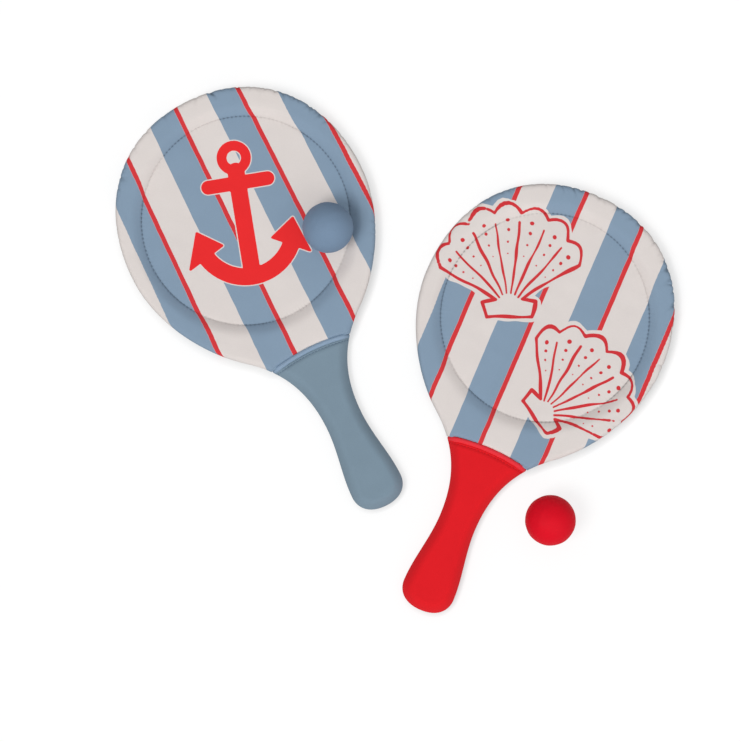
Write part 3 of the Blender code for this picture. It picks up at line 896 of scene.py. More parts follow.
class StitchMaker:
    """Rows of sewn stitches, set along a path by Geometry Nodes."""

    def __init__(self) -> None:
        """Build the tree."""
        self.tree = self._tree()
        self.sockets = {item.name: item.identifier for item in self.tree.interface.items_tree}

    def _tree(self) -> bpy.types.NodeTree:
        """A tree that puts a rounded stitch at even steps along each path."""
        tree = bpy.data.node_groups.new("sewn_rows", "GeometryNodeTree")
        tree.interface.new_socket("Path", in_out="INPUT", socket_type="NodeSocketGeometry")
        for name, value in CIRCLE_STITCH.sizes(0.0036).items():
            socket = tree.interface.new_socket(name, in_out="INPUT", socket_type="NodeSocketFloat")
            socket.default_value = value
        tree.interface.new_socket("Thread", in_out="INPUT", socket_type="NodeSocketMaterial")
        tree.interface.new_socket("Stitches", in_out="OUTPUT", socket_type="NodeSocketGeometry")
        w = Wiring(tree)
        given = w.node("NodeGroupInput").outputs
        curve = w.node("GeometryNodeMeshToCurve", _0=given["Path"]).outputs[0]
        steps = {"mode": "LENGTH"}
        even = w.node("GeometryNodeResampleCurve", steps, Curve=curve, Length=given["Pitch"]).outputs[0]
        ball = w.node("GeometryNodeMeshUVSphere", Segments=8, Rings=6, Radius=1.0).outputs[0]
        smooth = w.node("GeometryNodeSetShadeSmooth", Geometry=ball).outputs[0]
        half = w.math("MULTIPLY", given["Stitch Length"], 0.5)
        radius = given["Thread Radius"]
        size = w.node("ShaderNodeCombineXYZ", X=half, Y=radius, Z=radius).outputs[0]
        along = w.node("GeometryNodeInputTangent").outputs[0]
        turn = w.node("FunctionNodeAlignRotationToVector", {"axis": "X"}, Vector=along).outputs[0]
        rows = w.node("GeometryNodeInstanceOnPoints", Points=even, Instance=smooth, Rotation=turn, Scale=size)
        real = w.node("GeometryNodeRealizeInstances", _0=rows.outputs[0]).outputs[0]
        done = w.node("GeometryNodeSetMaterial", Geometry=real, Material=given["Thread"]).outputs[0]
        w.node("NodeGroupOutput", _0=done)
        return tree

    def sew(
        self, name: str, paths: list[tuple[np.ndarray, bool]], thread: bpy.types.Material,
        sizes: dict[str, float],
    ) -> bpy.types.Mesh:
        """Sew rows along paths.

        Args:
            name: The name of the new mesh.
            paths: Rows of x, y and z for each path, and whether it closes.
            thread: The thread's material.
            sizes: Values for the tree's named inputs.

        Returns:
            One plain mesh with every stitch.
        """
        points: list[list[float]] = []
        edges: list[tuple[int, int]] = []
        for path, closes in paths:
            first = len(points)
            points += path.tolist()
            edges += [(number, number + 1) for number in range(first, len(points) - 1)]
            if closes:
                edges.append((len(points) - 1, first))
        lines = bpy.data.meshes.new(name + "_paths")
        lines.from_pydata(points, edges, [])
        guide = in_scene(name, lines)
        modifier = guide.modifiers.new("rows", "NODES")
        modifier.node_group = self.tree
        for label, value in sizes.items():
            modifier[self.sockets[label]] = value
        modifier[self.sockets["Thread"]] = thread
        return settled(guide)


# Pieces of a paddle


@dataclass
class StuffedCloth:
    """A cloth simulation that lets a stuffed band of cloth swell and crease between its two sewn edges."""

    quality: int = 6
    column_step: int = 3
    ring_step: int = 2
    frames: int = 20
    pressure: float = 4.0
    surplus: float = 0.055
    surplus_rings: float = 0.40
    vertex_mass: float = 0.05
    stiffness: float = 14.0
    bending: float = 0.15
    share: float = 0.75
    most: float = 0.0013

    def swell(self, name: str, skin: np.ndarray) -> np.ndarray:
        """Let a closed band of cloth settle.

        Args:
            name: A name for the cloth while it moves.
            skin: Rings of points, whose first and last rings are sewn down.

        Returns:
            How far each point of the band moves.
        """
        rings = np.unique([*range(0, len(skin), self.ring_step), len(skin) - 1])
        columns = np.arange(0, skin.shape[1], self.column_step)
        coarse = skin[np.ix_(rings, columns)]
        moved = self._simulate(name, coarse) - coarse
        length = np.linalg.norm(moved, axis=2, keepdims=True)
        moved *= self.share * np.minimum(1.0, self.most / np.maximum(length, 1e-9))
        LOG.info("%s: the cloth moves %.2f mm at most", name, 1000 * float(length.max()))
        return self._spread(moved, rings, columns, skin.shape)

    def _simulate(self, name: str, coarse: np.ndarray) -> np.ndarray:
        """Run the simulation on a coarse band and read where its points end."""
        count = coarse.shape[1]
        grid = np.arange(coarse.shape[0] * count).reshape(coarse.shape[:2])
        faces = [face for outer, inner in zip(grid, grid[1:]) for face in ring_faces(outer, inner)]
        mesh = bpy.data.meshes.new(name)
        mesh.from_pydata(coarse.reshape(-1, 3).tolist(), [], faces)
        if sum(polygon.normal.z for polygon in mesh.polygons) < 0:
            mesh.flip_normals()
        scene = bpy.context.scene
        cloth = in_scene(name, mesh)
        sewn = cloth.vertex_groups.new(name="sewn")
        sewn.add([*grid[0].tolist(), *grid[-1].tolist()], 1.0, "REPLACE")
        loose = cloth.vertex_groups.new(name="loose")
        for number, ring in enumerate(grid):
            weight = max(0.0, 1.0 - number / (self.surplus_rings * len(grid)))
            loose.add(ring.tolist(), weight, "REPLACE")
        modifier = cloth.modifiers.new("cloth", "CLOTH")
        settings = modifier.settings
        settings.quality = self.quality
        settings.mass = self.vertex_mass
        settings.tension_stiffness = self.stiffness
        settings.compression_stiffness = self.stiffness
        settings.shear_stiffness = self.stiffness / 2
        settings.bending_stiffness = self.bending
        settings.use_pressure = True
        settings.uniform_pressure_force = self.pressure
        settings.vertex_group_shrink = loose.name
        settings.shrink_min = 0.0
        settings.shrink_max = -self.surplus
        settings.vertex_group_mass = sewn.name
        settings.effector_weights.gravity = 0.0
        modifier.collision_settings.use_collision = False
        modifier.point_cache.frame_end = self.frames
        for number in range(1, self.frames + 1):
            scene.frame_set(number)
        ready = cloth.evaluated_get(bpy.context.evaluated_depsgraph_get())
        ends = np.empty(3 * grid.size)
        ready.data.vertices.foreach_get("co", ends)
        bpy.data.objects.remove(cloth, do_unlink=True)
        scene.frame_set(1)
        return ends.reshape(coarse.shape)

    def _spread(self, moved: np.ndarray, rings: np.ndarray, columns: np.ndarray, shape: tuple) -> np.ndarray:
        """Carry the coarse band's movement over to every point of the fine one."""
        round_again = np.concatenate([moved, moved[:, :1]], axis=1)
        ends = np.append(columns, shape[1])
        along = np.empty((len(rings), *shape[1:]))
        for ring, axis in np.ndindex(len(rings), 3):
            along[ring, :, axis] = np.interp(np.arange(shape[1]), ends, round_again[ring, :, axis])
        fine = np.empty(shape)
        for column, axis in np.ndindex(shape[1], 3):
            fine[:, column, axis] = np.interp(np.arange(shape[0]), rings, along[:, column, axis])
        return fine


@dataclass
class HeadCover:
    """The striped faces of a paddle's head: dished in a stitched circle and rolled over a padded rim."""

    plan: PaddlePlan
    stripes: StripePrint
    motif: Motif
    seed: int
    stitches: int = 160
    columns_a_stitch: int = 6
    seam_share: float = 0.113
    seam_roll_share: float = 0.25
    arc_steps: int = 40
    ring_step: float = 0.0012
    smallest_ring: float = 0.003
    close_rings: tuple[float, ...] = (0.0005, 0.0010, 0.0017, 0.0026)
    rise_rings: int = 10
    roll_rings: int = 15
    groove_depth: float = 0.0005
    groove_width: float = 0.0006
    hole_depth: float = 0.0004
    pull_range: Span = (0.45, 1.0)
    # Painted shade along the groove between the needle holes.
    groove_painted_shade: float = 0.2
    puff_depth: float = 0.0005
    puff_reach: float = 0.0035
    tuck_height: float = 0.00012
    tuck_reach: float = 0.0035
    seam_roll: float = 0.0021
    allowance: float = 0.0012
    edge_puckers: int = 130
    # Painted shade in the edge creases.
    crease_painted_shade: float = 0.7
    pucker_lean: float = 0.5
    pucker_fade: float = 1.5
    pucker_size: Span = (0.1, 1.0)
    pucker_width: Span = (0.006, 0.014)
    pucker_slant: float = 7.0
    pucker_depth: float = 0.0015
    pucker_start: float = 0.0008
    pucker_reach: float = 0.0034
    pucker_reaches: Span = (0.4, 1.5)
    pucker_drawn_in: float = 0.6
    drawn_in_reach: float = 0.001
    waviness: float = 0.00016
    waves: Span = (0.016, 0.05)
    calm_reach: float = 0.006
    # Painted shade on the circle's stitches, as if they lay in the groove's shade.
    thread_painted_shade: float = 0.75
    thread_lift: float = 0.00016
    soft_limit: float = 0.0006
    inside_bend_rings: int = 6
    inside_shares: tuple[float, ...] = (0.75, 0.5, 0.25, 0.0)
    inside_margin: float = 0.0005
    seam_margin: float = 0.0002

    def __post_init__(self) -> None:
        """Work out the columns and rings of the skin, and where each point lies."""
        self._lay_out_columns()
        self._lay_out_rings()
        self._shape_skin()

    def _placed(self, radii: np.ndarray) -> np.ndarray:
        """Points at radii along the rays, one for each column in the last axis."""
        return self.middle + radii[..., None] * self.rays

    def _lay_out_columns(self) -> None:
        """Rays from the middle of the head, and how far the cover reaches along each."""
        s = self.plan.sizes
        self.middle = np.array([0.0, -s.stitch_drop])
        offset = s.seam_slot - self.allowance
        end = self.plan.seam_end(offset)
        corner_at = self.plan.seam_point(end, offset)
        edge = self.plan.edge[self.plan.edge[:, 1] > corner_at[1]]
        turns = np.linspace(end, 0.0, self.arc_steps)
        arc = np.array([self.plan.seam_point(angle, offset) for angle in turns])
        right = np.vstack([edge, arc]) - self.middle
        bearing = np.arctan2(right[:, 0], right[:, 1])
        bearing[-1] = math.pi
        corner = math.atan2(*(corner_at - self.middle))
        half = self.stitches * self.columns_a_stitch // 2
        across = round(half * self.seam_share)
        head = np.linspace(0.0, corner, half - across, endpoint=False)
        bearings = np.concatenate([head, np.linspace(corner, math.pi, across, endpoint=False)])
        self.bearings = np.concatenate([bearings, [math.pi], 2 * math.pi - bearings[:0:-1]])
        self.rays = np.column_stack([np.sin(self.bearings), np.cos(self.bearings)])
        folded = np.minimum(self.bearings, 2 * math.pi - self.bearings)
        self.reach = np.interp(folded, bearing, np.hypot(*right.T))
        inside_seam = np.clip((folded - corner) / (math.pi - corner), 0.0, 1.0)
        self.rolls = 1.0 - np.clip(inside_seam / self.seam_roll_share, 0.0, 1.0)

    def _lay_out_rings(self) -> None:
        """Radii of the rings along each ray, from the cover's edge inwards."""
        s = self.plan.sizes
        circle = s.stitch_radius
        angles = np.linspace(math.pi / 2, 0.0, self.roll_rings + 1)
        power = 2 / self.plan.FULLNESS
        roll = [self.reach - s.pad_half * (1 - math.sin(angle) ** power) for angle in angles]
        start = circle + self.close_rings[-1]
        shares = np.linspace(1.0, 0.0, self.rise_rings + 1)[1:-1]
        rise = [start + (roll[-1] - start) * share for share in shares]
        near = [np.full_like(self.reach, circle + step) for step in reversed(self.close_rings)]
        self.circle_ring = len(roll) + len(rise) + len(near)
        inner = [circle, *(circle - step for step in self.close_rings)]
        inner += list(np.arange(inner[-1] - self.ring_step, self.smallest_ring, -self.ring_step))
        self.radii = np.array([*roll, *rise, *near, *(np.full_like(self.reach, radius) for radius in inner)])

    def _shape_skin(self) -> None:
        """Heights of the outer skin, with its groove, tucks and puckers, its place on the flat cloth, and the
        painted shade of its groove, needle holes and creases.
        """
        s = self.plan.sizes
        rings, columns = self.radii.shape
        draw = np.random.default_rng(self.seed)
        stitch = np.arange(columns) // self.columns_a_stitch
        between = np.sin(math.pi * (np.arange(columns) % self.columns_a_stitch) / self.columns_a_stitch) ** 2
        pull = draw.uniform(*self.pull_range, self.stitches)[stitch]
        flat = self._placed(self.radii).reshape(-1, 2)
        rim = flat[: (self.circle_ring + 1) * columns]
        inset = np.full(len(flat), s.rim_width)
        inset[: len(rim)] = self.plan.inset(rim)
        depth = inset.reshape(rings, columns)
        height = np.full(len(flat), s.face_top)
        height[: len(rim)] = self.plan.head_skin(rim)
        height = height.reshape(rings, columns)
        from_circle = self.radii - s.stitch_radius
        groove = np.exp(-((from_circle / self.groove_width) ** 2))
        tuck = np.exp(-np.abs(from_circle) / self.tuck_reach)
        height -= groove * (self.groove_depth * (from_circle > 0) + self.hole_depth * (1 - between) * pull)
        height += tuck * self.tuck_height * (2 * between - 1) * pull * (np.abs(from_circle) > 0)
        puff = np.exp(np.minimum(from_circle, 0.0) / self.puff_reach)
        height -= self.puff_depth * puff * (from_circle <= 0)
        past = self.plan.past_seam(rim) - s.seam_slot
        roll = np.maximum(self.seam_roll - past, 0.0)
        drop = self.seam_roll - np.sqrt(np.maximum(self.seam_roll**2 - roll**2, 0.0))
        height[: self.circle_ring + 1] -= drop.reshape(-1, columns)
        settle = np.clip(depth / self.calm_reach, 0.0, 1.0)
        wave = soft_waves(flat, self.seed + 1, self.waves).reshape(rings, columns)
        height += settle * self.waviness * (wave - 1.0) * (1 - groove)
        self.flat = self._placed(self.radii)
        self.height = height
        self._stuff_rim()
        self._pucker_edge(depth, draw)
        self.height = np.clip(self.height, s.gap / 2, s.pad_half)
        # Painted shade for the sewn attribute: darker along the stitched groove, most at the needle holes,
        # and in the edge creases.
        hole_painted_shade = self.groove_painted_shade + (1 - self.groove_painted_shade) * (1 - between) ** 2
        self.sewn = np.maximum(groove * hole_painted_shade, self.crease_painted_shade * self.folds)
        self._unroll()

    def _stuff_rim(self) -> None:
        """Let the cloth over the hoop swell between the stitched circle and the sewn edge."""
        half = self.plan.sizes.pad_half
        band = slice(0, self.circle_ring + 1)
        skin = np.dstack([self.flat[band], self.height[band]])
        moved = StuffedCloth().swell("stuffed_rim", skin)
        self.flat[band] += moved[..., :2]
        height = self.height[band] + moved[..., 2]
        over = np.maximum(height - (half - self.soft_limit), 0.0)
        capped = np.minimum(height, half - self.soft_limit)
        self.height[band] = capped + self.soft_limit * np.tanh(over / self.soft_limit)

    def _pucker_edge(self, depth: np.ndarray, draw: np.random.Generator) -> None:
        """Draw the cloth in at the sewn edge, in short uneven creases that run a little way inwards."""
        at = draw.uniform(0.0, 2 * math.pi, self.edge_puckers)
        width = draw.uniform(*self.pucker_width, self.edge_puckers)
        reach = draw.uniform(*self.pucker_reaches, self.edge_puckers) * self.pucker_reach
        slant = draw.uniform(-self.pucker_slant, self.pucker_slant, self.edge_puckers)
        size = draw.uniform(*self.pucker_size, self.edge_puckers)
        size *= (0.5 + 0.5 * np.cos(at - self.pucker_lean)) ** self.pucker_fade
        near = depth < 4 * self.pucker_reach
        places, inset = np.broadcast_to(self.bearings, depth.shape)[near], depth[near]
        crease = np.zeros(len(places))
        for number in range(self.edge_puckers):
            away = np.abs((places - at[number] - slant[number] * inset + math.pi) % (2 * math.pi) - math.pi)
            crease += size[number] * np.exp(-((away / width[number]) ** 2) - (inset / reach[number]) ** 2)
        # folds both shape the creases and set the painted shade in them.
        self.folds = np.zeros(depth.shape)
        self.folds[near] = np.minimum(crease, 1.0)
        self.folds *= self.rolls
        pull = self.folds * self.pucker_depth
        drawn_in = self.pucker_drawn_in * pull * np.exp(-depth / self.drawn_in_reach)
        self.flat -= drawn_in[..., None] * self.rays
        self.height -= pull * np.clip(depth / self.pucker_start, 0.0, 1.0)

    def _unroll(self) -> None:
        """Lay the skin out flat: each column keeps its bearing and its true length."""
        radii = self.radii[::-1]
        steps = np.hypot(np.diff(radii, axis=0), np.diff(self.height[::-1], axis=0))
        length = np.vstack([radii[:1], radii[:1] + np.cumsum(steps, axis=0)])[::-1]
        self.unrolled = self._placed(length)

    def mesh(self, name: str, side: Side) -> bpy.types.Mesh:
        """One face as a closed sheet: its outer skin, and the inside that lies on the hoop."""
        points: list[np.ndarray] = []
        values: list[np.ndarray] = []
        faces: list[tuple[int, ...]] = []
        columns = len(self.reach)
        previous = None
        stride = 1
        for number, radius in enumerate(self.radii[:, 0]):
            if radius < self.radii[self.circle_ring, 0] / (2 * stride) and number > self.circle_ring:
                stride *= 2
            picked = slice(0, columns, stride)
            at = np.column_stack([self.flat[number, picked], self.height[number, picked]])
            ring = np.arange(len(at)) + sum(len(part) for part in points)
            points.append(at)
            values.append(np.column_stack([self.unrolled[number, picked], self.sewn[number, picked]]))
            if previous is not None:
                faces += ring_faces(previous, ring)
            previous = ring
        faces.append(tuple(previous))
        first = np.arange(columns)
        for at in self._inside_rings():
            ring = np.arange(columns) + sum(len(part) for part in points)
            points.append(at)
            values.append(np.column_stack([at[:, :2], np.zeros(columns)]))
            faces += ring_faces(first, ring)
            first = ring
        faces.append(tuple(first))
        shape = np.vstack(points)
        shape[:, 2] *= side.value
        mesh = bpy.data.meshes.new(name)
        mesh.from_pydata(shape.tolist(), [], faces)
        turn_outwards(mesh)
        self._print(mesh, np.vstack(values))
        mesh.set_sharp_from_angle(angle=SHARP_ANGLE)
        return mesh

    def _inside_rings(self) -> list[np.ndarray]:
        """Rings of the inside, from the cover's edge over the hoop to the stitched circle."""
        s = self.plan.sizes
        bend = s.pad_half - s.face_thickness
        edge = self.reach - s.face_thickness * self.rolls - self.seam_margin * (1 - self.rolls)
        turn = math.pi / 2 / (self.inside_bend_rings - 1)
        radii = [edge - bend * (1 - math.cos(step * turn)) for step in range(self.inside_bend_rings)]
        circle = s.stitch_radius - self.inside_margin
        radii += [circle + (radii[-1] - circle) * share for share in self.inside_shares]
        rings = []
        for radius in radii:
            flat = self._placed(radius)
            rings.append(np.column_stack([flat, self.plan.head_skin(flat, s.face_thickness)]))
        return rings

    def print_stitches(self, mesh: bpy.types.Mesh) -> None:
        """Give stitches of the circle the print of the cloth that they lie on, darkened by a painted shade of
        the groove they lie in.
        """
        places = np.empty(3 * len(mesh.vertices))
        mesh.vertices.foreach_get("co", places)
        flat = places.reshape(-1, 3)[:, :2]
        ring = self.circle_ring
        stretch = math.dist(self.unrolled[ring, 0], self.middle) / math.dist(self.flat[ring, 0], self.middle)
        places = self.middle + (flat - self.middle) * stretch
        self._print(mesh, np.column_stack([places, np.full(len(flat), self.thread_painted_shade)]))

    def _print(self, mesh: bpy.types.Mesh, kept: np.ndarray) -> None:
        """Write where the print falls: rows of the place on the flat cloth, and how much painted shade
        darkens it.
        """
        ground, ink = motif_distances(self.motif, kept[:, :2])
        write_map(mesh, "cloth", self.stripes.flat_place(kept[:, :2]))
        write_values(mesh, "motif_ground", ground)
        write_values(mesh, "motif_ink", ink)
        write_values(mesh, "sewn", kept[:, 2])

    def circle_path(self, side: Side) -> np.ndarray:
        """The path of the circle's thread, from the middle of one stitch."""
        ring = self.circle_ring
        path = np.column_stack([self.flat[ring], self.height[ring] + self.thread_lift])
        path[:, 2] *= side.value
        return np.roll(path, -self.columns_a_stitch // 2, axis=0)


def ring_faces(outer: np.ndarray, inner: np.ndarray) -> list[tuple[int, ...]]:
    """Faces between two rings of vertices, of which the inner may have half as many."""
    step = len(outer) // len(inner)
    after_inner = np.roll(inner, -1)
    if step == 1:
        return list(zip(outer.tolist(), inner.tolist(), after_inner.tolist(), np.roll(outer, -1).tolist()))
    corner, middle, after = outer[::2], outer[1::2], np.roll(outer[::2], -1)
    columns = (corner, inner, after_inner, after, middle)
    return list(zip(*(column.tolist() for column in columns)))


@dataclass
class GripSleeve:
    """The foam-backed sleeve of a handle: soft shoulders, a round butt, and an end that dips to the seam."""

    plan: PaddlePlan
    seed: int
    stations: int = 150
    roll_rings: int = 13
    flat_rings: int = 11
    roll_width: float = 0.0098
    shoulder: float = 0.8
    seam_roll: float = 0.0014
    allowance: float = 0.0012
    sag_reach: float = 0.050
    sag_blend: Span = (0.06, 0.02)
    butt_fan: float = 0.0190
    topstitch_inset: float = 0.0018
    topstitch_depth: float = 0.0014
    topstitch_width: float = 0.0009
    topstitch_margin: float = 0.0012
    topstitch_steps: int = 160
    topstitch_pitch: float = 0.0030
    thread_lift: float = 0.00005
    waviness: float = 0.00015
    waves: Span = (0.012, 0.04)
    calm_reach: float = 0.004
    least_height: float = 0.00002

    def _columns(self) -> tuple[np.ndarray, np.ndarray]:
        """Points round the sleeve's edge from seam to seam, and the point on the axis that each looks to."""
        s = self.plan.sizes
        offset = self.allowance - s.seam_slot
        corner = self.plan.seam_point(self.plan.seam_end(offset), offset)
        lengths = self.plan.lengths
        start = float(np.interp(-corner[1], -self.plan.edge[:, 1], lengths))
        at = np.linspace(start, lengths[-1], self.stations)
        right = np.column_stack([np.interp(at, lengths, self.plan.edge[:, axis]) for axis in (0, 1)])
        right[0] = corner
        right[-1, 0] = 0.0
        apex = s.seam_y + offset
        fade = 1.0 - np.clip((at - start) / self.sag_reach, 0.0, 1.0)
        lift = (apex - corner[1]) * fade**2 * (3 - 2 * fade)
        lowest = right[-1, 1] + self.butt_fan
        axis = np.maximum(right[:, 1] + lift, lowest)
        left = right[-2::-1] * [-1.0, 1.0]
        return np.vstack([right, left]), np.concatenate([axis, axis[-2::-1]])

    def heights(self, flat: np.ndarray) -> np.ndarray:
        """Half the sleeve's thickness at rows of points."""
        s = self.plan.sizes
        inset = self.plan.inset(flat)
        share = np.minimum(inset / self.roll_width, 1.0)
        height = s.pad_half * np.sin(share * math.pi / 2) ** self.shoulder
        past = -self.plan.past_seam(flat) - s.seam_slot
        roll = np.maximum(self.seam_roll - past, 0.0)
        height -= self.seam_roll - np.sqrt(np.maximum(self.seam_roll**2 - roll**2, 0.0))
        groove = np.exp(-(((past - self.topstitch_inset) / self.topstitch_width) ** 2))
        calm = np.clip(inset / self.calm_reach, 0.0, 1.0)
        height -= calm * self.topstitch_depth * groove
        height -= calm * self.waviness * (0.5 + 0.5 * soft_waves(flat, self.seed, self.waves))
        return np.clip(height, self.least_height, s.pad_half)

    def mesh(self, name: str) -> bpy.types.Mesh:
        """The sleeve as a closed wall that is open at the seam."""
        s = self.plan.sizes
        outer, axis = self._columns()
        inner = np.column_stack([np.zeros(len(axis)), axis])
        run = np.hypot(*(outer - inner).T)
        turns = np.linspace(math.pi / 2, 0.0, self.roll_rings + 1)
        shares = [1.0 - self.roll_width * (1 - math.sin(turn)) / run for turn in turns]
        shares += [shares[-1] * (1 - step / self.flat_rings) for step in range(1, self.flat_rings + 1)]
        near_seam = np.clip((outer[:, 1] - (s.seam_y - self.sag_blend[0])) / self.sag_blend[1], 0.0, 1.0)
        rings = []
        for share in shares:
            power = np.where(share > 0, np.maximum(share, 1e-9) ** (1.0 + near_seam), 0.0)
            rings.append(np.column_stack([outer[:, 0] * share, axis + (outer[:, 1] - axis) * power]))
        flat = np.vstack(rings)
        height = self.heights(flat)
        columns = len(outer)
        height[:columns] = 0.0
        count = len(flat)
        points = np.vstack([np.column_stack([flat, height]), np.column_stack([flat, -height])])
        faces = []
        for ring in range(len(rings) - 1):
            for column in range(columns - 1):
                first = ring * columns + column
                quad = (first, first + columns, first + columns + 1, first + 1)
                faces.append(quad)
                faces.append(tuple(number + count for number in reversed(quad)))
        return self._thicken(name, points, faces)

    def _thicken(self, name: str, points: np.ndarray, faces: list[tuple[int, ...]]) -> bpy.types.Mesh:
        """Give the open skin its wall."""
        skin = bpy.data.meshes.new(name)
        skin.from_pydata(points.tolist(), [], faces)
        turn_outwards(skin, weld=1e-6, least_edge=1e-7)
        body = in_scene(name, skin)
        wall = body.modifiers.new("wall", "SOLIDIFY")
        wall.thickness = self.plan.sizes.sleeve_thickness
        wall.offset = -1.0
        mesh = settled(body)
        places = np.array([vertex.co[:2] for vertex in mesh.vertices])
        write_map(mesh, "cloth", places)
        mesh.set_sharp_from_angle(angle=SHARP_ANGLE)
        return mesh

    def topstitch_path(self, side: Side) -> np.ndarray:
        """The path of the row of stitches that holds the piping down."""
        s = self.plan.sizes
        offset = -(s.seam_slot + self.topstitch_inset)
        end = self.plan.seam_end(offset, self.topstitch_margin)
        angles = end * np.sin(np.linspace(-math.pi / 2, math.pi / 2, self.topstitch_steps + 1))
        flat = np.array([self.plan.seam_point(angle, offset) for angle in angles])
        return np.column_stack([flat, side.value * (self.heights(flat) + self.thread_lift)])


@dataclass
class RolledPiping:
    """The rolled cord of cloth in the seam, which runs right round the neck."""

    plan: PaddlePlan
    seed: int
    steps: int = 110
    stuffed: float = 0.00025
    unevenness: float = 0.03
    waves: Span = (0.004, 0.013)
    depth_share: float = 2.5
    bevel_resolution: int = 5
    least_height: float = 0.0004

    def mesh(self, name: str) -> bpy.types.Mesh:
        """A closed tube along the seam, front and back."""
        radius = self.plan.sizes.piping_radius + self.stuffed
        end = self.plan.seam_end(0.0, radius)
        angles = end * np.sin(np.linspace(-math.pi / 2, math.pi / 2, self.steps + 1))
        flat = np.array([self.plan.seam_point(angle, 0.0) for angle in angles])
        height = self.plan.padding(flat, radius * (1.0 + self.depth_share * self.unevenness))
        raised = height > self.least_height
        raised[0] = raised[-1] = True
        height[0] = height[-1] = 0.0
        front = np.column_stack([flat, height])[raised]
        back = front[-2:0:-1] * [1.0, 1.0, -1.0]
        path = np.vstack([front, back])
        curve = bpy.data.curves.new(name, "CURVE")
        curve.dimensions = "3D"
        curve.bevel_depth = radius
        curve.bevel_resolution = self.bevel_resolution
        spline = curve.splines.new("POLY")
        spline.points.add(len(path) - 1)
        spline.use_cyclic_u = True
        swell = soft_waves(path[:, [0, 2]], self.seed, self.waves)
        for point, place, lump in zip(spline.points, path, swell):
            point.co = (*place, 1.0)
            point.radius = 1.0 + self.unevenness * lump
        mesh = settled(in_scene(name, curve))
        turn_outwards(mesh, weld=1e-7)
        while mesh.uv_layers:
            mesh.uv_layers.remove(mesh.uv_layers[0])
        places = np.array([(vertex.co.x, vertex.co.y + vertex.co.z) for vertex in mesh.vertices])
        write_map(mesh, "cloth", places)
        return mesh


@dataclass(frozen=True)
class PaddleLook:
    """What sets one paddle apart from the other."""

    prefix: str
    turn: float
    motif: Motif
    stripes: StripePrint
    ink: Colour
    sleeve: Colour
    piping: Colour
    thread: Colour
    seed: int


class Paddle:
    """One paddle: both faces, the grip, the piping and the sewing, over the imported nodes."""

    def __init__(
        self, look: PaddleLook, plan: PaddlePlan, effects: SharedEffects, stitcher: StitchMaker
    ) -> None:
        """Find the paddle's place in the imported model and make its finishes."""
        self.look = look
        self.plan = plan
        self.stitcher = stitcher
        sizes = plan.sizes
        middle = head_middle(look.prefix + "_front_face", sizes.pad_half + sizes.face_top)
        self.place = Place(middle, look.turn, sizes.pad_half)
        self.cover = HeadCover(plan, look.stripes, look.motif, look.seed)
        self.sleeve = GripSleeve(plan, look.seed + 2)
        cloth = ClothFinish(look.prefix + "_cloth", OFF_WHITE, broad=0.07, fine=0.07)
        self.printed = PrintedFinish(cloth, look.stripes, PRINT_BLUE, PRINT_LINE, look.ink).material(effects)
        self.sleeve_cloth = ClothFinish(look.prefix + "_sleeve", look.sleeve).material(effects)
        piping = ClothFinish(look.prefix + "_piping", look.piping, roughness=0.75)
        self.piping_cloth = piping.material(effects)
        # Painted shade: the topstitch thread's colour is darker than the sleeve, standing in for the shade of
        # its needle holes.
        thread = ClothFinish(look.prefix + "_thread", look.thread, roughness=0.7)
        self.thread = thread.material(effects)

    def _finish(
        self, name: str, mesh: bpy.types.Mesh, material: bpy.types.Material,
        nodes: tuple[str, ...] = (),
    ) -> None:
        """Turn a mesh into place and hand it over."""
        mesh.transform(self.place.matrix())
        hand_over(add_piece(name, mesh, material), nodes)

    def dress(self) -> None:
        """Make every piece of the paddle."""
        prefix = self.look.prefix
        for side, word in ((Side.FRONT, "front"), (Side.BACK, "back")):
            node = f"{prefix}_{word}_face"
            mesh = self.cover.mesh(f"{prefix}_{word}_cover", side)
            self._finish(f"{prefix}_{word}_cover", mesh, self.printed, (node,))
        grip = self.sleeve.mesh(prefix + "_grip_sleeve")
        self._finish(prefix + "_grip_sleeve", grip, self.sleeve_cloth, (prefix + "_grip",))
        cord = RolledPiping(self.plan, self.look.seed + 3).mesh(prefix + "_rolled_piping")
        self._finish(prefix + "_rolled_piping", cord, self.piping_cloth, (prefix + "_piping",))
        self._sew()

    def _sew(self) -> None:
        """Lay the thread of the circle and of the topstitch on both sides."""
        name = self.look.prefix + "_circle_stitches"
        paths = [(self.cover.circle_path(side), True) for side in Side]
        around = float(np.hypot(*np.diff(paths[0][0][:, :2], axis=0).T).sum())
        sizes = CIRCLE_STITCH.sizes(around / self.cover.stitches)
        rows = self.stitcher.sew(name, paths, self.printed, sizes)
        self.cover.print_stitches(rows)
        self._finish(name, rows, self.printed)
        name = self.look.prefix + "_topstitch"
        paths = [(self.sleeve.topstitch_path(side), False) for side in Side]
        rows = self.stitcher.sew(name, paths, self.thread, TOPSTITCH.sizes(self.sleeve.topstitch_pitch))
        self._finish(name, rows, self.thread)


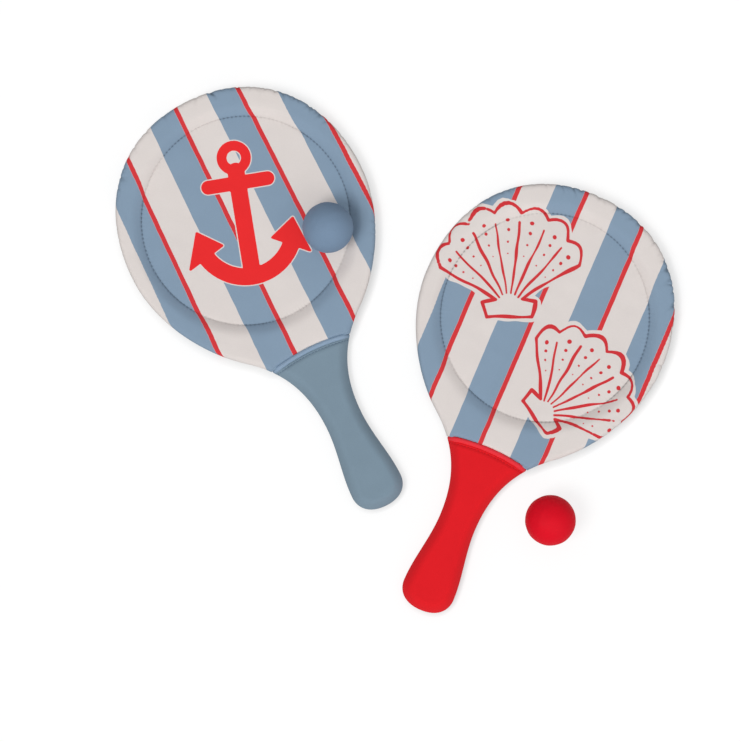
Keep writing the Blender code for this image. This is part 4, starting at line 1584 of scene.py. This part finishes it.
@dataclass
class SoftBall:
    """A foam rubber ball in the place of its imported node."""

    node: str
    slot: str
    colour: Colour
    subdivisions: int = 6
    unevenness: float = 0.00008
    waves: Span = (0.008, 0.02)
    slant: Point = (0.7, -0.4)

    def dress(self, effects: SharedEffects) -> None:
        """Make the ball and hand it over."""
        low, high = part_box(self.node)
        middle = (low + high) / 2
        radius = (high.x - low.x) / 2
        ball = bmesh.new()
        bmesh.ops.create_icosphere(ball, subdivisions=self.subdivisions, radius=radius)
        places = np.array([vertex.co[:] for vertex in ball.verts])
        lumps = soft_waves(places[:, :2] + places[:, 2:] * self.slant, len(self.node), self.waves)
        for vertex, lump in zip(ball.verts, lumps):
            vertex.co = vertex.co * (1.0 - self.unevenness * (1.0 + lump) / radius) + middle
        mesh = bpy.data.meshes.new(self.node + "_foam")
        ball.to_mesh(mesh)
        ball.free()
        mesh.shade_smooth()
        finish = FoamFinish(self.slot, self.colour).material(effects)
        hand_over(add_piece(self.node + "_foam", mesh, finish), (self.node,))


def dress_frames(effects: SharedEffects) -> None:
    """Give the moulded frames inside the padding their plastic."""
    moulded = FoamFinish("moulded_plastic", MOULDED_GREY, roughness=0.5).material(effects)
    for prefix in ("blue_paddle", "red_paddle"):
        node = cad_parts[prefix + "_frame"]
        node.data.materials.clear()
        node.data.materials.append(moulded)
        LOG.info("%s_frame: keeps its packed shape", prefix)


# Studio


@dataclass(frozen=True)
class Lamp:
    """A broad lamp so far away that its light falls the same way everywhere."""

    name: str
    towards: tuple[float, float, float]
    share: float
    softness: float
    shadows: bool


@dataclass
class Studio:
    """A pale floor, soft light from the near side and the left, and a camera that looks straight down."""

    middle: Point = (-0.0217, -0.0185)
    view_height: float = 8.0
    subject_height: float = 0.015
    sensor: float = 36.0
    floor_half: float = 6.0
    sky: float = 0.45
    lamps: tuple[Lamp, ...] = (
        Lamp("near_side", (0.62, -0.78, 1.0), 0.22, math.radians(40.0), False),
        Lamp("left_side", (-0.46, -0.28, 1.0), 0.34, math.radians(27.0), True),
    )
    floor_shown: float = 1.01
    floor_tone: float = 0.28
    floor_bounce: float = 0.48
    # A painted shadow on the floor: which way it leans, how far it reaches and how deep it goes.
    painted_shadow_from: tuple[float, float, float] = (-0.66, 0.62, 0.40)
    painted_shadow_reach: float = 0.0085
    painted_shadow_depth: float = 0.50

    def build(self) -> None:
        """Set up floor, sky, lamps and camera."""
        self._floor()
        self._sky()
        for lamp in self.lamps:
            self._lamp(lamp)
        self._camera()
        bpy.context.scene.view_settings.view_transform = "Standard"

    def _floor(self) -> None:
        """A plain floor that shows white and keeps the shadows, with a painted shadow: its emission is dimmed
        right beside the pieces, leaning to their lower right.
        """
        sheet = bmesh.new()
        bmesh.ops.create_grid(sheet, x_segments=1, y_segments=1, size=self.floor_half)
        mesh = bpy.data.meshes.new("floor")
        sheet.to_mesh(mesh)
        sheet.free()
        material, w, shader = new_material("floor")
        shader.inputs["Roughness"].default_value = 0.9
        shader.inputs["Specular IOR Level"].default_value = 0.0
        shader.inputs["Emission Color"].default_value = (1.0, 1.0, 1.0, 1.0)
        seen = w.node("ShaderNodeLightPath").outputs
        either = w.math("MAXIMUM", seen["Is Camera Ray"], seen["Is Glossy Ray"])
        seen_tone = w.math("MULTIPLY", either, self.floor_bounce - self.floor_tone)
        w.feed(shader.inputs["Base Color"], w.math("SUBTRACT", self.floor_bounce, seen_tone))
        cover = w.node("ShaderNodeAmbientOcclusion")
        cover.inputs["Distance"].default_value = self.painted_shadow_reach
        leaning = w.node("ShaderNodeCombineXYZ")
        for socket, value in zip(leaning.inputs, Vector(self.painted_shadow_from).normalized()):
            socket.default_value = value
        w.feed(cover.inputs["Normal"], leaning.outputs["Vector"])
        # Painted shadow: the floor's white emission is dimmed where the tilted occlusion test finds a piece
        # close to its upper left.
        painted_shadow_amount = w.math("MULTIPLY", w.math("SUBTRACT", 1.0, cover.outputs["AO"]), self.painted_shadow_depth)
        shown = w.math("MULTIPLY", self.floor_shown - self.floor_tone, w.math("SUBTRACT", 1.0, painted_shadow_amount))
        w.feed(shader.inputs["Emission Strength"], w.math("MULTIPLY", either, shown))
        add_piece("floor", mesh, material)

    def _sky(self) -> None:
        """Even light from all round, seen as white."""
        world = bpy.data.worlds.new("sky")
        world.use_nodes = True
        bpy.context.scene.world = world
        w = Wiring(world.node_tree)
        seen = w.node("ShaderNodeLightPath").outputs
        direct = w.math("MAXIMUM", seen["Is Camera Ray"], seen["Is Glossy Ray"])
        shown = w.math("MAXIMUM", direct, seen["Is Transmission Ray"])
        strength = w.math("ADD", w.math("MULTIPLY", shown, 1.0 - self.sky), self.sky)
        background = world.node_tree.nodes["Background"]
        background.inputs["Color"].default_value = (1.0, 1.0, 1.0, 1.0)
        w.feed(background.inputs["Strength"], strength)

    def _lamp(self, lamp: Lamp) -> None:
        """Hang a lamp that gives its share of the light on level ground."""
        towards = Vector(lamp.towards).normalized()
        light = bpy.data.lights.new(lamp.name, "SUN")
        light.energy = lamp.share * math.pi / towards.z
        light.angle = lamp.softness
        light.use_shadow = lamp.shadows
        in_scene(lamp.name, light).rotation_euler = towards.to_track_quat("Z", "Y").to_euler()

    def _camera(self) -> None:
        """A long lens straight above the set."""
        lens = bpy.data.cameras.new("camera")
        width = PHOTO_PIXELS * METRES_PER_PIXEL
        lens.sensor_width = self.sensor
        lens.lens = self.sensor * (self.view_height - self.subject_height) / width
        lens.clip_end = 100.0
        camera = in_scene("camera", lens)
        camera.location = (*self.middle, self.view_height)
        bpy.context.scene.camera = camera


OFF_WHITE: Colour = (0.705, 0.652, 0.628)
PRINT_BLUE: Colour = (0.231, 0.319, 0.423)
PRINT_LINE: Colour = (0.640, 0.040, 0.047)
ANCHOR_INK: Colour = (0.805, 0.025, 0.027)
SHELL_INK: Colour = (0.600, 0.034, 0.042)
GRIP_BLUE: Colour = (0.198, 0.275, 0.342)
GRIP_RED: Colour = (0.730, 0.0105, 0.0165)
PIPING_BLUE: Colour = (0.250, 0.345, 0.465)
PIPING_RED: Colour = (0.790, 0.034, 0.048)
BALL_BLUE: Colour = (0.176, 0.256, 0.366)
BALL_RED: Colour = (0.695, 0.002, 0.0145)
# Painted shade: the topstitch threads are coloured darker than their sleeves to stand in for the shade in
# their needle holes.
PAINTED_SHADE_THREAD_BLUE: Colour = (0.090, 0.135, 0.200)
PAINTED_SHADE_THREAD_RED: Colour = (0.420, 0.006, 0.012)
MOULDED_GREY: Colour = (0.080, 0.082, 0.085)

LOOKS = (
    PaddleLook(
        "blue_paddle", math.radians(26.2), Motif.ANCHOR,
        StripePrint(0.0601, -0.0412, 0.0264, -0.0147, 0.0041, -0.25),
        ANCHOR_INK, GRIP_BLUE, PIPING_BLUE, PAINTED_SHADE_THREAD_BLUE, 11,
    ),
    PaddleLook(
        "red_paddle", math.radians(-23.1), Motif.SHELLS,
        StripePrint(0.0581, -0.0376, 0.0261, -0.0114, 0.0041, 0.0),
        SHELL_INK, GRIP_RED, PIPING_RED, PAINTED_SHADE_THREAD_RED, 47,
    ),
)
BALLS = (
    SoftBall("blue_ball", "blue_foam_ball", BALL_BLUE),
    SoftBall("red_ball", "red_foam_ball", BALL_RED),
)


def main() -> None:
    """Build the studio and dress every piece of the set."""
    logging.basicConfig(level=logging.INFO, format="%(message)s")
    effects = SharedEffects()
    stitcher = StitchMaker()
    plan = PaddlePlan(PaddleSizes())
    Studio().build()
    for look in LOOKS:
        Paddle(look, plan, effects, stitcher).dress()
    for ball in BALLS:
        ball.dress(effects)
    dress_frames(effects)


if __name__ == "__main__":
    main()
